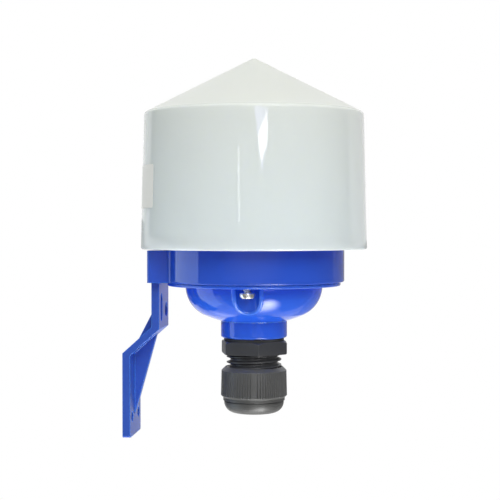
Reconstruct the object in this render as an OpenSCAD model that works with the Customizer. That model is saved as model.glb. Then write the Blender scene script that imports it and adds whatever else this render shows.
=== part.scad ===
// Outdoor photocell switch: opal cap on a blue base with a one-piece wall bracket,
// a blue wiring cover under it and a black cable gland.
// The origin is midway between the two wall screw holes, on the wall face.
// The wall is the plane x = 0, the switch stands off along +X and +Z is up.

/* [Cap] */
// Outer diameter at the cap's bottom edge
cap_d = 81; // [77:0.5:90]
// How much narrower the skirt is at the rim, on the diameter
cap_draft = 2.3; // [0.5:0.1:4]
// Height of the skirt, bottom edge to rim
cap_skirt_h = 48.5; // [42:0.5:60]
// Height of the conical roof above the rim
cap_roof_h = 20; // [12:0.5:28]
// Wall thickness
cap_wall = 2.5; // [2:0.1:3]
// Depth of the mouth that takes the base's flange
cap_mouth_h = 4; // [3.6:0.1:5]
// How much wider the mouth is than the skirt's inside, on the radius
cap_shoulder = 0.8; // [0.5:0.1:1.2]
// How far the snap bead in the mouth stands inward
cap_bead = 0.5; // [0.4:0.05:0.7]
// Rounding of the rim
cap_rim_r = 1.2; // [0.5:0.1:2]
// Rounding of the roof's point
cap_point_r = 1.6; // [0.5:0.1:3]
// Rounding of the bottom edge
cap_lip_r = 0.6; // [0.3:0.05:0.8]

/* [Base] */
// Outer diameter of the ring under the cap
ring_d = 64.8; // [60:0.2:68]
// Height of the ring, cap's bottom edge to ring's bottom edge
ring_h = 11.75; // [10:0.25:16]
// Wall of the ring
ring_wall = 3.9; // [3:0.1:5]
// Rounding of the ring's bottom edge
ring_edge_r = 0.6; // [0.3:0.1:1]
// Thickness of the flange that closes the cap
flange_t = 3; // [2.6:0.1:3.2]
// Width of the bracket block on the ring's wall side
block_w = 32; // [28:0.5:36]
// How far the block stands out past the bracket's upper plate
block_proud = 0.7; // [0.3:0.1:1.5]
// Rounding of the block's upright edges
block_corner_r = 1.2; // [0.6:0.1:2]
// Hollow rounding where the block runs into the ring
block_fillet_r = 2; // [1:0.25:3]
// Air between the block and the cap's bottom edge
block_gap = 0.4; // [0.3:0.1:0.8]

/* [Bracket] */
// Width of the bracket
bracket_w = 20.6; // [18:0.2:26]
// Thickness of its plates
bracket_t = 2.8; // [2.2:0.1:3.4]
// Air between the ring and the upper plate
bracket_gap = 0.4; // [0.2:0.1:1]
// Step of the jog from the upper plate to the wall plate
bracket_offset = 10.5; // [8:0.25:14]
// Height of the upper plate, ring's bottom edge to jog
bracket_upper_h = 15.9; // [15:0.1:20]
// Height of the jog
bracket_jog_h = 9.45; // [7:0.05:12]
// How much lower the jog's inner bends are than its outer ones
bracket_bend = 0.8; // [0.2:0.1:1.2]
// Height of the wall plate below the jog
bracket_lower_h = 30.15; // [27:0.05:36]
// Rounding of the wall plate's lower corners
bracket_corner_r = 1; // [0.5:0.1:2]
// Thickness of the gussets on both sides of the jog
gusset_t = 2.4; // [1.6:0.1:3]
// How far the wall-side gusset climbs the upper plate
outer_gusset_h = 6.9; // [4:0.1:9]
// How far the wall-side gusset reaches out over the jog
outer_gusset_run = 6.8; // [4:0.1:7.5]
// Where the inner gusset starts along the jog, measured off the upper plate
inner_gusset_start = 2.3; // [1:0.1:4]
// How far the inner gusset runs down the wall plate
inner_gusset_drop = 23; // [14:0.5:24]
// Diameter of the two wall screw holes
wall_hole_d = 3.8; // [3:0.1:5]
// Distance between the wall screw holes
wall_hole_spacing = 12; // [9:0.25:13]
// Distance of the wall screw holes from the plate's lower end
wall_hole_inset = 7.15; // [5:0.05:10]
// Width of the slot in the upper plate
slot_w = 4; // [3:0.1:5]
// Length of the slot
slot_h = 10.2; // [7:0.1:11]
// Distance of the slot's end from the jog
slot_foot = 1.75; // [1:0.05:3]
// Diameter of the round hole in the upper plate
side_hole_d = 5.4; // [3.5:0.1:6]
// Distance of the round hole's centre from the jog
side_hole_foot = 5.45; // [4:0.05:8]
// Distance of the slot and the round hole from the bracket's middle
side_hole_y = 5.2; // [4.5:0.1:6]

/* [Lower cover] */
// Ledge between the ring's edge and the cover's lip
cover_ledge = 1.3; // [0.8:0.1:2]
// Thickness of the cover's lip
cover_lip_t = 1; // [0.8:0.1:2]
// Wall of the bowl
cover_wall = 2; // [1.5:0.1:2.5]
// Outer diameter of the bowl at the lip
bowl_d = 49.2; // [48:0.2:54]
// Depth of the bowl below the lip
bowl_h = 12.7; // [12.3:0.1:15]
// Radius of the bowl's side below the lip
bowl_side_r = 11.6; // [8:0.1:11.8]
// Rounding of the lip's lower edge
lip_edge_r = 0.4; // [0.2:0.05:0.5]
// Diameter of the cable neck
neck_d = 23.8; // [23:0.2:28]
// Length of the neck below the bowl
neck_h = 6; // [4:0.25:10]
// Rounding of the neck's lower edge
neck_edge_r = 0.8; // [0.3:0.1:1]
// Diameter of the open screw pockets
pocket_d = 9.2; // [7:0.1:9.4]
// Distance of the cover screws from the ring's outer face
screw_inset = 7.6; // [7:0.1:8.4]

/* [Seals] */
// Thickness of the gasket under the ring
gasket_t = 0.35; // [0.25:0.05:0.8]
// How far the gasket stays back from the lip's edge
gasket_inset = 0.5; // [0.3:0.1:1]
// Thickness of the O-ring in the flange
o_ring_d = 1.4; // [1.1:0.1:1.5]

/* [Cover screws] */
// Diameter of the screws
screw_d = 2.9; // [2.4:0.1:3.2]
// Length below the head
screw_l = 12; // [9:0.5:13]
// Diameter of the pan head
screw_head_d = 5.3; // [4.6:0.1:6]
// Height of the pan head
screw_head_h = 2; // [1.6:0.1:2.6]
// How far the heads stand off the lip, not driven home
screw_proud = 1.5; // [0.2:0.1:2]
// Diameter of the bosses that take the screws
boss_d = 8; // [6.5:0.1:8.4]

/* [Cable gland] */
// Diameter of the thread in the neck
entry_thread_d = 18.6; // [17.6:0.1:19]
// Length of the thread in the neck
entry_thread_l = 8; // [6:0.25:9]
// Diameter of the flat washer
washer_d = 21.6; // [20.6:0.1:22.6]
// Thickness of the flat washer
washer_t = 1.1; // [0.6:0.1:2]
// Hexagon across its flats
hex_af = 22; // [21:0.25:24]
// Height of the hexagon
hex_h = 4.7; // [3.5:0.1:7]
// Turn of the hexagon about the gland's axis
hex_turn = 43; // [0:1:59]
// Diameter of the nut's thread
nut_thread_d = 19.7; // [18.6:0.1:20.2]
// Length of nut thread that is left bare under the hexagon
nut_thread_bare = 4.7; // [1:0.1:6]
// Length of nut thread inside the nut
nut_thread_l = 10.4; // [8:0.1:10.6]
// Diameter of the nut's grip at its lower end
nut_d = 23.8; // [23.2:0.1:27]
// How much narrower the grip is at its upper end
nut_draft = 0.4; // [0:0.1:0.8]
// Height of the ribbed grip
nut_grip_h = 10.2; // [9.8:0.1:14]
// Chamfer of the nut's upper edge
nut_cut = 1.3; // [0.6:0.1:1.4]
// How much narrower the smooth band under the grip is, on the radius
nut_ledge = 0.8; // [0.5:0.1:1.2]
// Height of the smooth band, the ledge included
nut_band_h = 1.8; // [1.4:0.1:2.4]
// Width and depth of the groove between the band and the dome
nut_step = 0.35; // [0.2:0.05:0.5]
// Height of the dome and the band below the grip
nut_dome_h = 6.3; // [6.1:0.1:7.5]
// Rounding of the dome from its side to its end
nut_foot_r = 4; // [3:0.1:4.1]
// Diameter of the cable hole in the dome
nut_hole_d = 11.6; // [11:0.1:12.4]
// Width of the smooth flats on the grip
nut_flat_w = 2.6; // [2:0.1:5]
// Ribs between two flats
nut_ribs = 10; // [5:1:11]
// Depth of the grooves between the ribs
nut_rib_h = 0.35; // [0.2:0.05:0.5]
// Turn of the nut about its axis
nut_turn = 35; // [0:1:59]
// Diameter of the cable bore in the sealing insert
seal_bore_d = 10; // [8:0.2:10.6]
// Outer diameter of the sealing insert
seal_d = 15; // [14:0.1:15.6]
// Length of the sealing insert
seal_l = 11.2; // [9:0.1:11.4]
// How far the sealing insert reaches out of the gland's body
seal_reach = 2.4; // [1.5:0.1:2.8]
// How much narrower the sealing insert is at its lower end, on the radius
seal_taper = 1.2; // [0.6:0.1:1.6]
// Diameter of the cable way above the sealing insert
gland_bore_d = 12.4; // [11.6:0.1:13]

/* [Electronics] */
// Diameter of the circuit board
board_d = 63; // [60:0.5:66]
// Thickness of the circuit board
board_t = 1.6; // [1:0.1:2]
// Height of the posts that carry the board
post_h = 5; // [4:0.25:8]
// Diameter of the posts
post_d = 6.4; // [5.6:0.1:7]
// Distance of the posts from the board's edge
post_inset = 4.5; // [4:0.1:5]
// Diameter of the board screws
board_screw_d = 2.4; // [2:0.1:2.6]
// Length of the board screws below the head
board_screw_l = 5.5; // [4.5:0.1:6]
// Diameter of their heads
board_screw_head_d = 5; // [4:0.1:5.4]
// Height of their heads
board_screw_head_h = 1.6; // [1.2:0.1:2.2]
// Terminal block: length, width and height
terminal_size = [30, 12, 17]; // [8:0.5:36]
// Distance between two terminals
terminal_pitch = 9.5; // [9:0.1:9.7]
// Width of the square wire way through each terminal
wire_way = 5.2; // [4.6:0.1:5.6]
// Height of the wire ways above the block's lower face
wire_way_z = 6.4; // [6:0.1:8]
// Wall of the brass wire clamps
clamp_wall = 0.8; // [0.6:0.05:1]
// Diameter of the terminal screws
terminal_screw_d = 2.6; // [2.2:0.1:2.8]
// Diameter of their heads
terminal_screw_head_d = 4; // [3.6:0.1:4.2]
// Height of their heads
terminal_screw_head_h = 1.8; // [1.4:0.1:2.2]
// Relay: length, width and height
relay_size = [19.4, 15.6, 15.4]; // [10:0.2:22]
// Film capacitor: length, width and height
film_size = [18, 8.5, 14.5]; // [6:0.5:20]
// Diameter of the electrolytic can
can_d = 8; // [6:0.5:9]
// Height of the electrolytic can
can_h = 12; // [9:0.5:16]
// Diameter of the surge disc
disc_d = 10; // [8:0.5:11]
// Thickness of the surge disc
disc_t = 4; // [3:0.25:4.5]
// Diameter of the diodes
diode_d = 2.7; // [2:0.1:3]
// Length of the diodes
diode_l = 5.2; // [4:0.1:6]
// Diameter of the resistors
resistor_d = 2.4; // [1.8:0.1:3]
// Length of the resistors
resistor_l = 6.3; // [4:0.1:7]
// Distance between two parts that lie side by side
axial_pitch = 4; // [3.5:0.1:4.4]
// Diameter of the transistor
transistor_d = 4.8; // [4:0.1:5.2]
// Height of the transistor's body
transistor_h = 4.8; // [4:0.1:6]
// Diameter of the component leads
lead_d = 0.7; // [0.5:0.05:0.8]
// Diameter of the light sensor
sensor_d = 7; // [5:0.25:8]
// Thickness of the light sensor
sensor_t = 2.1; // [1.6:0.1:3]
// Outer diameter of the sensor's holder
holder_d = 7.6; // [6.6:0.1:8.4]
// Wall of the sensor's holder
holder_wall = 1; // [0.8:0.1:1.2]
// Distance of the sensor's face below the cap's rim
sensor_drop = 14; // [8:0.5:22]

/* [Hidden] */
$fn = 96;
// Sliding clearance between rigid pieces, on the radius
slide_gap = 0.3;
// Clearance of screws and threads in their holes, on the radius
thread_gap = 0.05;
// Clearance of a shank in a passing hole, on the radius
pass_gap = 0.2;
// Clearance of the turning nut round its thread, on the radius
nut_gap = 0.25;
// How far a cutting shape runs past the face it cuts
over = 1;
// Share of its radius by which a rounding stands past the faces it joins, so that they cross cleanly
ease = 0.004;

// Heights below are measured from the cap's bottom edge, on the switch's own axis.
cap_r = cap_d / 2;
rim_r = cap_r - cap_draft / 2;
apex_z = cap_skirt_h + cap_roof_h;
roof_slope = cap_roof_h / rim_r;
roof_drop = cap_wall * sqrt(1 + roof_slope * roof_slope);
inner_rim_z = cap_skirt_h + cap_wall * roof_slope - roof_drop;
mouth_top_r = cap_r - cap_draft / 2 * cap_mouth_h / cap_skirt_h - cap_wall;
mouth_r = mouth_top_r + cap_shoulder;
flange_r = mouth_r - slide_gap;
flange_top = cap_mouth_h;
flange_bottom = flange_top - flange_t;
bead_top = flange_bottom - thread_gap;
bead_mid = bead_top / 2;
groove_h = o_ring_d + 2 * thread_gap;
o_ring_z = flange_top - flange_t / 2;
o_ring_r = mouth_r - thread_gap - o_ring_d / 2;
groove_r = o_ring_r - o_ring_d / 2 - thread_gap;

ring_r = ring_d / 2;
chamber_r = ring_r - ring_wall;
plate_in = ring_r + bracket_gap;
plate_out = plate_in + bracket_t;
block_out = plate_out + block_proud;
jog_top = -ring_h - bracket_upper_h;
jog_foot = jog_top - bracket_jog_h;
bracket_end = jog_foot - bracket_lower_h;
wall_hole_z = bracket_end + wall_hole_inset;
wall_x = plate_out + bracket_offset;
jog_slope = bracket_jog_h / bracket_offset;

lip_r = ring_r - cover_ledge;
lip_top = -ring_h - gasket_t;
lip_bottom = lip_top - cover_lip_t;
bowl_r = bowl_d / 2;
bowl_bottom = lip_bottom - bowl_h;
neck_r = neck_d / 2;
neck_bottom = bowl_bottom - neck_h;
// The bowl's lower part is a sphere that runs tangent from its side into the neck's root
root_r = neck_r - pass_gap;
side_mid_r = bowl_r - bowl_side_r;
crown_span = pow(root_r, 2) + pow(bowl_h, 2) - pow(side_mid_r, 2) + pow(bowl_side_r, 2);
crown_share = crown_span / (2 * bowl_side_r);
crown_slope = bowl_h / bowl_side_r;
crown_half = crown_share * crown_slope - bowl_h;
crown_rest = pow(crown_share, 2) - pow(root_r, 2) - pow(bowl_h, 2);
crown_square = pow(crown_slope, 2) - 1;
crown_rise = (sqrt(pow(crown_half, 2) - crown_square * crown_rest) - crown_half) / crown_square;
crown_r = crown_share + crown_slope * crown_rise;
screw_r = ring_r - screw_inset;
pilot_r = screw_d / 2 + thread_gap;
pass_r = screw_d / 2 + pass_gap;
pilot_depth = screw_l + over;

washer_bottom = neck_bottom - washer_t;
hex_bottom = washer_bottom - hex_h;
nut_top = hex_bottom - nut_thread_bare;
gland_end = nut_top - nut_thread_l;
grip_bottom = nut_top - nut_grip_h;
nut_bottom = grip_bottom - nut_dome_h;
seal_end = gland_end - seal_reach;
seal_seat = seal_end + seal_l;

board_bottom = flange_top + post_h;
board_top = board_bottom + board_t;
post_r = board_d / 2 - post_inset;
post_angles = [30, 150, 270];
sensor_top = cap_skirt_h - sensor_drop;
terminal_bottom = board_bottom - terminal_size.z;
terminal_x = [-terminal_pitch, 0, terminal_pitch];
clamp_size = wire_way - 2 * thread_gap;
clamp_floor = terminal_bottom + wire_way_z + thread_gap;
terminal_head_z = clamp_floor - terminal_screw_head_h - pass_gap;

// Places of the components on the board
relay_at = [0, 17];
film_at = [-15, -13];
can_at = [10, -15];
disc_at = [21.5, -10];
diodes_at = [-2, 0];
resistors_at = [15.5, 0];
transistor_at = [-13, 1];
sensor_at = [-21.5, 2];
diode_count = 4;
resistor_count = 3;
// Height at which upright components stand on their leads
lead_foot = 2;
// How far a lying component's leads reach past its body
lead_reach = 1.2;
// Size of the plain edge chamfers
edge_cut = 0.8;
// Share of a pan head's height that is rounded
head_round = 0.6;
// Angle between two flats of the nut's grip
nut_sector = 60;

// Unit vector from one point of an outline to another
function toward(a, b) = (b - a) / norm(b - a);

// What is cut off an outline's corner p, between its neighbours a and b, to round it
module corner_cut(p, a, b, r) {
    u = toward(p, a);
    v = toward(p, b);
    half = acos(u * v) / 2;
    run = r / tan(half);
    inward = toward([0, 0], u + v);
    difference() {
        polygon([p + u * run, p - inward * run, p + v * run]);
        translate(p + inward * r * (1 - ease) / sin(half))
            circle(r = r);
    }
}

// Moves from the switch's axis and the cap's bottom edge to the wall frame
module on_axis() {
    translate([wall_x, 0, -wall_hole_z])
        children();
}

// A rectangle about the origin with round corners
module round_rect(w, h, r) {
    difference() {
        square([w, h], center = true);
        for (x = [-1, 1], y = [-1, 1])
            corner_cut([x * w, y * h] / 2, [0, y * h / 2], [x * w / 2, 0], r);
    }
}

// A box that stands on z = 0, with its upright edges cut off
module chamfered_box(size, cut) {
    w = size.x / 2;
    h = size.y / 2;
    linear_extrude(height = size.z)
        polygon([
            [cut - w, -h], [w - cut, -h], [w, cut - h], [w, h - cut],
            [w - cut, h], [cut - w, h], [-w, h - cut], [-w, cut - h]
        ]);
}

// Copies for the two cover screws, front and back, with -Y outward
module at_cover_screws() {
    for (turn = [0, 180])
        rotate([0, 0, turn])
            translate([0, -screw_r, 0])
                children();
}

module at_posts() {
    for (angle = post_angles)
        rotate([0, 0, angle])
            translate([post_r, 0, 0])
                children();
}

module on_board(place) {
    translate([place.x, place.y, board_top])
        children();
}

module cap_outline() {
    bottom = [cap_r, 0];
    rim = [rim_r, cap_skirt_h];
    apex = [0, apex_z];
    lip = [mouth_r, 0];
    difference() {
        polygon([
            bottom, rim, apex, [0, apex_z - roof_drop], [rim_r - cap_wall, inner_rim_z],
            [mouth_top_r, cap_mouth_h], [mouth_r, cap_mouth_h],
            [mouth_r, bead_top], [mouth_r - cap_bead, bead_mid], lip
        ]);
        corner_cut(bottom, lip, rim, cap_lip_r);
        corner_cut(rim, bottom, apex, cap_rim_r);
        corner_cut(apex, rim, [-rim_r, cap_skirt_h], cap_point_r);
    }
}

module cap() {
    color("ghostwhite")
        on_axis()
            rotate_extrude()
                cap_outline();
}

module cap_seal() {
    color("dimgray")
        on_axis()
            rotate_extrude()
                translate([o_ring_r, o_ring_z])
                    circle(d = o_ring_d);
}

// The ring's outline up to the flange, filled to the axis
module ring_outline() {
    foot = [ring_r, -ring_h];
    difference() {
        union() {
            translate([0, -ring_h])
                square([ring_r, ring_h + flange_bottom]);
            translate([0, flange_bottom])
                square([flange_r, flange_t]);
        }
        corner_cut(foot, [0, -ring_h], [ring_r, 0], ring_edge_r);
        translate([groove_r, o_ring_z - groove_h / 2])
            square([flange_r, groove_h]);
    }
}

// Hollow rounding between the block's side and the ring
module block_fillet() {
    side = block_w / 2;
    reach = sqrt(pow(ring_r + block_fillet_r, 2) - pow(side + block_fillet_r, 2));
    middle = [-reach, side + block_fillet_r];
    touch = middle * ring_r / (ring_r + block_fillet_r);
    root = [touch.x, side] * chamber_r / ring_r;
    difference() {
        polygon([[-reach, side], touch, root, [-reach, root.y]]);
        translate(middle + toward(middle, root) * block_fillet_r * ease)
            circle(r = block_fillet_r);
    }
}

module block() {
    depth = block_out;
    translate([0, 0, -ring_h])
        linear_extrude(height = ring_h - block_gap) {
            translate([-depth / 2, 0])
                round_rect(depth, block_w, block_corner_r);
            block_fillet();
            mirror([0, 1])
                block_fillet();
        }
}

// Side view of the bracket: upper plate, jog and wall plate
module bracket_outline() {
    polygon([
        [-plate_in, -ring_h / 2], [-plate_in, jog_top - bracket_bend],
        [-plate_in - bracket_offset, jog_foot - bracket_bend], [-plate_in - bracket_offset, bracket_end],
        [-plate_out - bracket_offset, bracket_end], [-plate_out - bracket_offset, jog_foot],
        [-plate_out, jog_top], [-plate_out, -ring_h / 2]
    ]);
}

module gusset_outlines() {
    root = bracket_t / 2;
    outer_foot = jog_top - outer_gusset_run * jog_slope;
    inner_top = jog_top - bracket_bend - inner_gusset_start * jog_slope;
    inner_x = -plate_in - bracket_offset;
    polygon([
        [-plate_out, jog_top + outer_gusset_h], [-plate_out - outer_gusset_run, outer_foot],
        [-plate_out - outer_gusset_run + root, outer_foot], [-plate_out + root, jog_top],
        [-plate_out + root, jog_top + outer_gusset_h]
    ]);
    polygon([
        [-plate_in - inner_gusset_start, inner_top], [inner_x, jog_foot - inner_gusset_drop],
        [inner_x - root, jog_foot - inner_gusset_drop], [inner_x - root, jog_foot],
        [-plate_in - inner_gusset_start - root, inner_top]
    ]);
}

// Stands an outline drawn in X and Z upright, with its thickness about y = 0
module upright(thickness) {
    translate([0, thickness / 2, 0])
        rotate([90, 0, 0])
            linear_extrude(height = thickness)
                children();
}

// A cutter along X through the bracket's plates
module along_x(y, z) {
    translate([-wall_x - over, y, z])
        rotate([90, 0, 90])
            linear_extrude(height = bracket_offset + bracket_t + 2 * over)
                children();
}

module bracket() {
    front_h = bracket_corner_r - bracket_end;
    slot_z = jog_top + slot_foot + slot_w / 2;
    slot_run = slot_h - slot_w;
    difference() {
        union() {
            intersection() {
                upright(bracket_w)
                    bracket_outline();
                along_x(0, bracket_end + front_h / 2)
                    round_rect(bracket_w, front_h, bracket_corner_r);
            }
            upright(gusset_t)
                gusset_outlines();
        }
        for (side = [-1, 1])
            along_x(side * wall_hole_spacing / 2, wall_hole_z)
                circle(d = wall_hole_d);
        along_x(side_hole_y, jog_top + side_hole_foot)
            circle(d = side_hole_d);
        along_x(-side_hole_y, slot_z) {
            circle(d = slot_w);
            translate([-slot_w / 2, 0])
                square([slot_w, slot_run]);
            translate([0, slot_run])
                circle(d = slot_w);
        }
    }
}

module base_bosses() {
    at_cover_screws()
        translate([0, 0, -ring_h])
            cylinder(d = boss_d, h = ring_h + flange_bottom);
    at_posts()
        translate([0, 0, flange_bottom])
            cylinder(d = post_d, h = flange_t + post_h);
}

module base() {
    window = [terminal_size.x + 2 * slide_gap, terminal_size.y + 2 * slide_gap];
    color("royalblue")
        on_axis()
            difference() {
                union() {
                    difference() {
                        union() {
                            rotate_extrude()
                                ring_outline();
                            block();
                        }
                        translate([0, 0, -ring_h - over])
                            cylinder(r = chamber_r, h = ring_h + over + flange_bottom);
                    }
                    bracket();
                    base_bosses();
                }
                at_cover_screws()
                    translate([0, 0, -ring_h - over])
                        cylinder(r = pilot_r, h = pilot_depth);
                at_posts()
                    translate([0, 0, flange_bottom + over])
                        cylinder(r = board_screw_d / 2 + thread_gap, h = flange_t + post_h);
                translate([-window.x / 2, -window.y / 2, flange_bottom - over])
                    cube([window.x, window.y, flange_t + 2 * over]);
            }
}

module cover_gasket() {
    outer = lip_r - gasket_inset;
    inner = chamber_r + gasket_inset;
    color("dimgray")
        on_axis()
            translate([0, 0, lip_top])
                linear_extrude(height = gasket_t)
                    difference() {
                        union() {
                            difference() {
                                circle(r = outer);
                                circle(r = inner);
                            }
                            at_cover_screws() {
                                circle(d = boss_d);
                                translate([-boss_d / 4, screw_r - inner - gasket_inset])
                                    square([boss_d / 2, inner + gasket_inset - screw_r]);
                            }
                        }
                        at_cover_screws()
                            circle(r = pass_r);
                    }
}

// Outline of the bowl from its floor to a given height, shrunk by a wall
module bowl_outline(top, wall) {
    side = bowl_r - wall;
    floor_z = bowl_bottom + wall;
    side_r = bowl_side_r - wall;
    crown_mid = [0, lip_bottom + crown_rise];
    side_mid = [side_mid_r, lip_bottom];
    join = toward(crown_mid, side_mid);
    difference() {
        translate([0, floor_z])
            square([side, top - floor_z]);
        difference() {
            translate([0, floor_z - over])
                square([side + over, lip_bottom - floor_z + over]);
            translate(crown_mid)
                circle(r = crown_r - wall);
        }
        difference() {
            polygon([
                side_mid, [side + over, lip_bottom], [side + over, floor_z - over],
                side_mid + join * (side_r + over)
            ]);
            translate(side_mid + join * side_r * ease)
                circle(r = side_r);
        }
    }
}

module lip_outline() {
    foot = [lip_r, lip_bottom];
    difference() {
        translate([0, lip_bottom])
            square([lip_r, cover_lip_t]);
        corner_cut(foot, [0, lip_bottom], [lip_r, lip_top], lip_edge_r);
    }
}

module neck_outline() {
    foot = [neck_r, neck_bottom];
    difference() {
        translate([0, neck_bottom])
            square([neck_r, neck_h + cover_wall]);
        corner_cut(foot, [0, neck_bottom], [neck_r, bowl_bottom], neck_edge_r);
    }
}

module lower_cover() {
    bore_r = entry_thread_d / 2 + thread_gap;
    color("royalblue")
        on_axis()
            difference() {
                union() {
                    rotate_extrude()
                        lip_outline();
                    rotate_extrude()
                        bowl_outline(lip_top, 0);
                    rotate_extrude()
                        neck_outline();
                }
                difference() {
                    rotate_extrude()
                        bowl_outline(lip_top + over, cover_wall);
                    at_cover_screws()
                        translate([0, 0, bowl_bottom])
                            cylinder(r = pocket_d / 2 + cover_wall, h = lip_top - bowl_bottom);
                }
                at_cover_screws()
                    translate([0, 0, bowl_bottom - over])
                        cylinder(d = pocket_d, h = bowl_h + over);
                at_cover_screws()
                    translate([0, 0, lip_bottom - over])
                        cylinder(r = pass_r, h = cover_lip_t + 2 * over);
                translate([0, 0, neck_bottom - over])
                    cylinder(r = bore_r, h = neck_h + cover_wall + 2 * over);
            }
}

// A pan-head screw that points up, with the head's upper face at z = 0
module pan_screw(d, l, head_d, head_h) {
    foot = [head_d / 2, -head_h];
    recess_l = head_d * 2 / 3;
    recess_w = head_d / 6;
    difference() {
        union() {
            cylinder(d = d, h = l);
            rotate_extrude()
                difference() {
                    translate([0, -head_h])
                        square([head_d / 2, head_h]);
                    corner_cut(foot, [0, -head_h], [head_d / 2, 0], head_h * head_round);
                }
        }
        for (turn = [0, 90])
            rotate([0, 0, turn])
                translate([-recess_l / 2, -recess_w / 2, -head_h - over])
                    cube([recess_l, recess_w, head_h / 2 + over]);
    }
}

module cover_screws() {
    color("silver")
        on_axis()
            at_cover_screws()
                translate([0, 0, lip_bottom - screw_proud])
                    pan_screw(screw_d, screw_l, screw_head_d, screw_head_h);
}

module gland_body() {
    thread_r = nut_thread_d / 2;
    hex_r = hex_af / sqrt(3);
    color("darkslategray")
        on_axis()
            difference() {
                union() {
                    translate([0, 0, washer_bottom])
                        cylinder(d = entry_thread_d, h = washer_t + entry_thread_l);
                    intersection() {
                        translate([0, 0, hex_bottom])
                            rotate([0, 0, hex_turn])
                                cylinder(r = hex_r, h = hex_h, $fn = 6);
                        rotate_extrude()
                            polygon([
                                [0, hex_bottom], [hex_af / 2, hex_bottom],
                                [hex_r, hex_bottom + edge_cut], [hex_r, washer_bottom - edge_cut],
                                [hex_af / 2, washer_bottom], [0, washer_bottom]
                            ]);
                    }
                    translate([0, 0, gland_end])
                        cylinder(r = thread_r, h = hex_bottom - gland_end);
                }
                translate([0, 0, gland_end - over])
                    cylinder(d = gland_bore_d, h = neck_bottom + entry_thread_l - gland_end + 2 * over);
                translate([0, 0, gland_end - over])
                    cylinder(r = seal_d / 2 + thread_gap, h = seal_seat - gland_end + over);
            }
}

module gland_washer() {
    color("black")
        on_axis()
            translate([0, 0, washer_bottom])
                difference() {
                    cylinder(d = washer_d, h = washer_t);
                    translate([0, 0, -over])
                        cylinder(r = entry_thread_d / 2 + pass_gap, h = washer_t + 2 * over);
                }
}

module gland_seal() {
    outer = seal_d / 2;
    color("black")
        on_axis()
            rotate_extrude()
                polygon([
                    [seal_bore_d / 2, seal_end], [outer - seal_taper, seal_end], [outer, gland_end],
                    [outer, seal_seat], [seal_bore_d / 2, seal_seat]
                ]);
}

// Outline of the dome nut: drafted grip, smooth band, groove, round dome and stepped bore
module nut_outline() {
    grip = nut_d / 2;
    grip_top_r = grip - nut_draft / 2;
    band_r = grip - nut_ledge;
    band_bottom = grip_bottom - nut_band_h;
    dome_r = band_r - nut_step;
    foot = [dome_r, nut_bottom];
    throat_r = seal_d / 2 + edge_cut;
    bore_end = gland_end - slide_gap;
    difference() {
        polygon([
            [0, nut_top], [grip_top_r - nut_cut, nut_top], [grip_top_r, nut_top - nut_cut],
            [grip, grip_bottom], [band_r, grip_bottom - nut_ledge], [band_r, band_bottom],
            [dome_r - nut_step, band_bottom], [dome_r - nut_step, band_bottom - nut_step],
            [dome_r, band_bottom - nut_step], [dome_r, nut_bottom], [0, nut_bottom]
        ]);
        corner_cut(foot, [0, nut_bottom], [dome_r, band_bottom], nut_foot_r);
        translate([0, bore_end])
            square([nut_thread_d / 2 + nut_gap, nut_top - bore_end + over]);
        polygon([
            [0, bore_end + over], [throat_r, bore_end + over], [throat_r, bore_end],
            [nut_hole_d / 2, nut_bottom + over], [nut_hole_d / 2, nut_bottom - over], [0, nut_bottom - over]
        ]);
    }
}

// The grooves between two flats of the grip, as cutters along the nut's axis
module rib_grooves() {
    grip = nut_d / 2;
    flat_angle = 2 * asin(nut_flat_w / nut_d);
    step = (nut_sector - flat_angle) / nut_ribs;
    half = grip * sin(step / 2);
    for (sector = [0:nut_sector:359], i = [0:nut_ribs])
        rotate([0, 0, nut_turn + sector + flat_angle / 2 + i * step])
            translate([0, 0, grip_bottom - over])
                linear_extrude(height = nut_grip_h + 2 * over)
                    polygon([[grip - nut_rib_h, 0], [grip + nut_rib_h, half], [grip + nut_rib_h, -half]]);
}

module nut_flats() {
    grip = nut_d / 2;
    depth = sqrt(grip * grip - pow(nut_flat_w / 2, 2));
    for (sector = [0:nut_sector:359])
        rotate([0, 0, nut_turn + sector])
            translate([depth, -nut_d / 2, grip_bottom + edge_cut])
                cube([grip, nut_d, nut_grip_h + over]);
}

module gland_nut() {
    color("darkslategray")
        on_axis()
            difference() {
                rotate_extrude()
                    nut_outline();
                rib_grooves();
                nut_flats();
            }
}

module circuit_board() {
    color("seagreen")
        on_axis()
            translate([0, 0, board_bottom])
                difference() {
                    cylinder(d = board_d, h = board_t);
                    at_posts()
                        translate([0, 0, -over])
                            cylinder(r = board_screw_d / 2 + pass_gap, h = board_t + 2 * over);
                }
}

module board_screws() {
    color("silver")
        on_axis()
            at_posts()
                translate([0, 0, board_top])
                    rotate([180, 0, 0])
                        pan_screw(board_screw_d, board_screw_l, board_screw_head_d, board_screw_head_h);
}

module terminal_block() {
    well_r = terminal_screw_head_d / 2 + pass_gap;
    color("whitesmoke")
        on_axis()
            translate([0, 0, terminal_bottom])
                difference() {
                    chamfered_box(terminal_size, edge_cut);
                    for (x = terminal_x) {
                        translate([x - wire_way / 2, -terminal_size.y / 2 - over, wire_way_z])
                            cube([wire_way, terminal_size.y + 2 * over, wire_way]);
                        translate([x, 0, -over])
                            cylinder(r = well_r, h = wire_way_z + 2 * over);
                    }
                }
}

module wire_clamps() {
    window = clamp_size - 2 * clamp_wall;
    clamp_l = terminal_size.y - 2 * clamp_wall;
    color("goldenrod")
        on_axis()
            for (x = terminal_x)
                translate([x, 0, clamp_floor])
                    difference() {
                        translate([-clamp_size / 2, -clamp_l / 2, 0])
                            cube([clamp_size, clamp_l, clamp_size]);
                        translate([-window / 2, -clamp_l / 2 - over, clamp_wall])
                            cube([window, clamp_l + 2 * over, window]);
                        translate([0, 0, -over])
                            cylinder(r = terminal_screw_d / 2 + thread_gap, h = clamp_wall + 2 * over);
                    }
}

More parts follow.
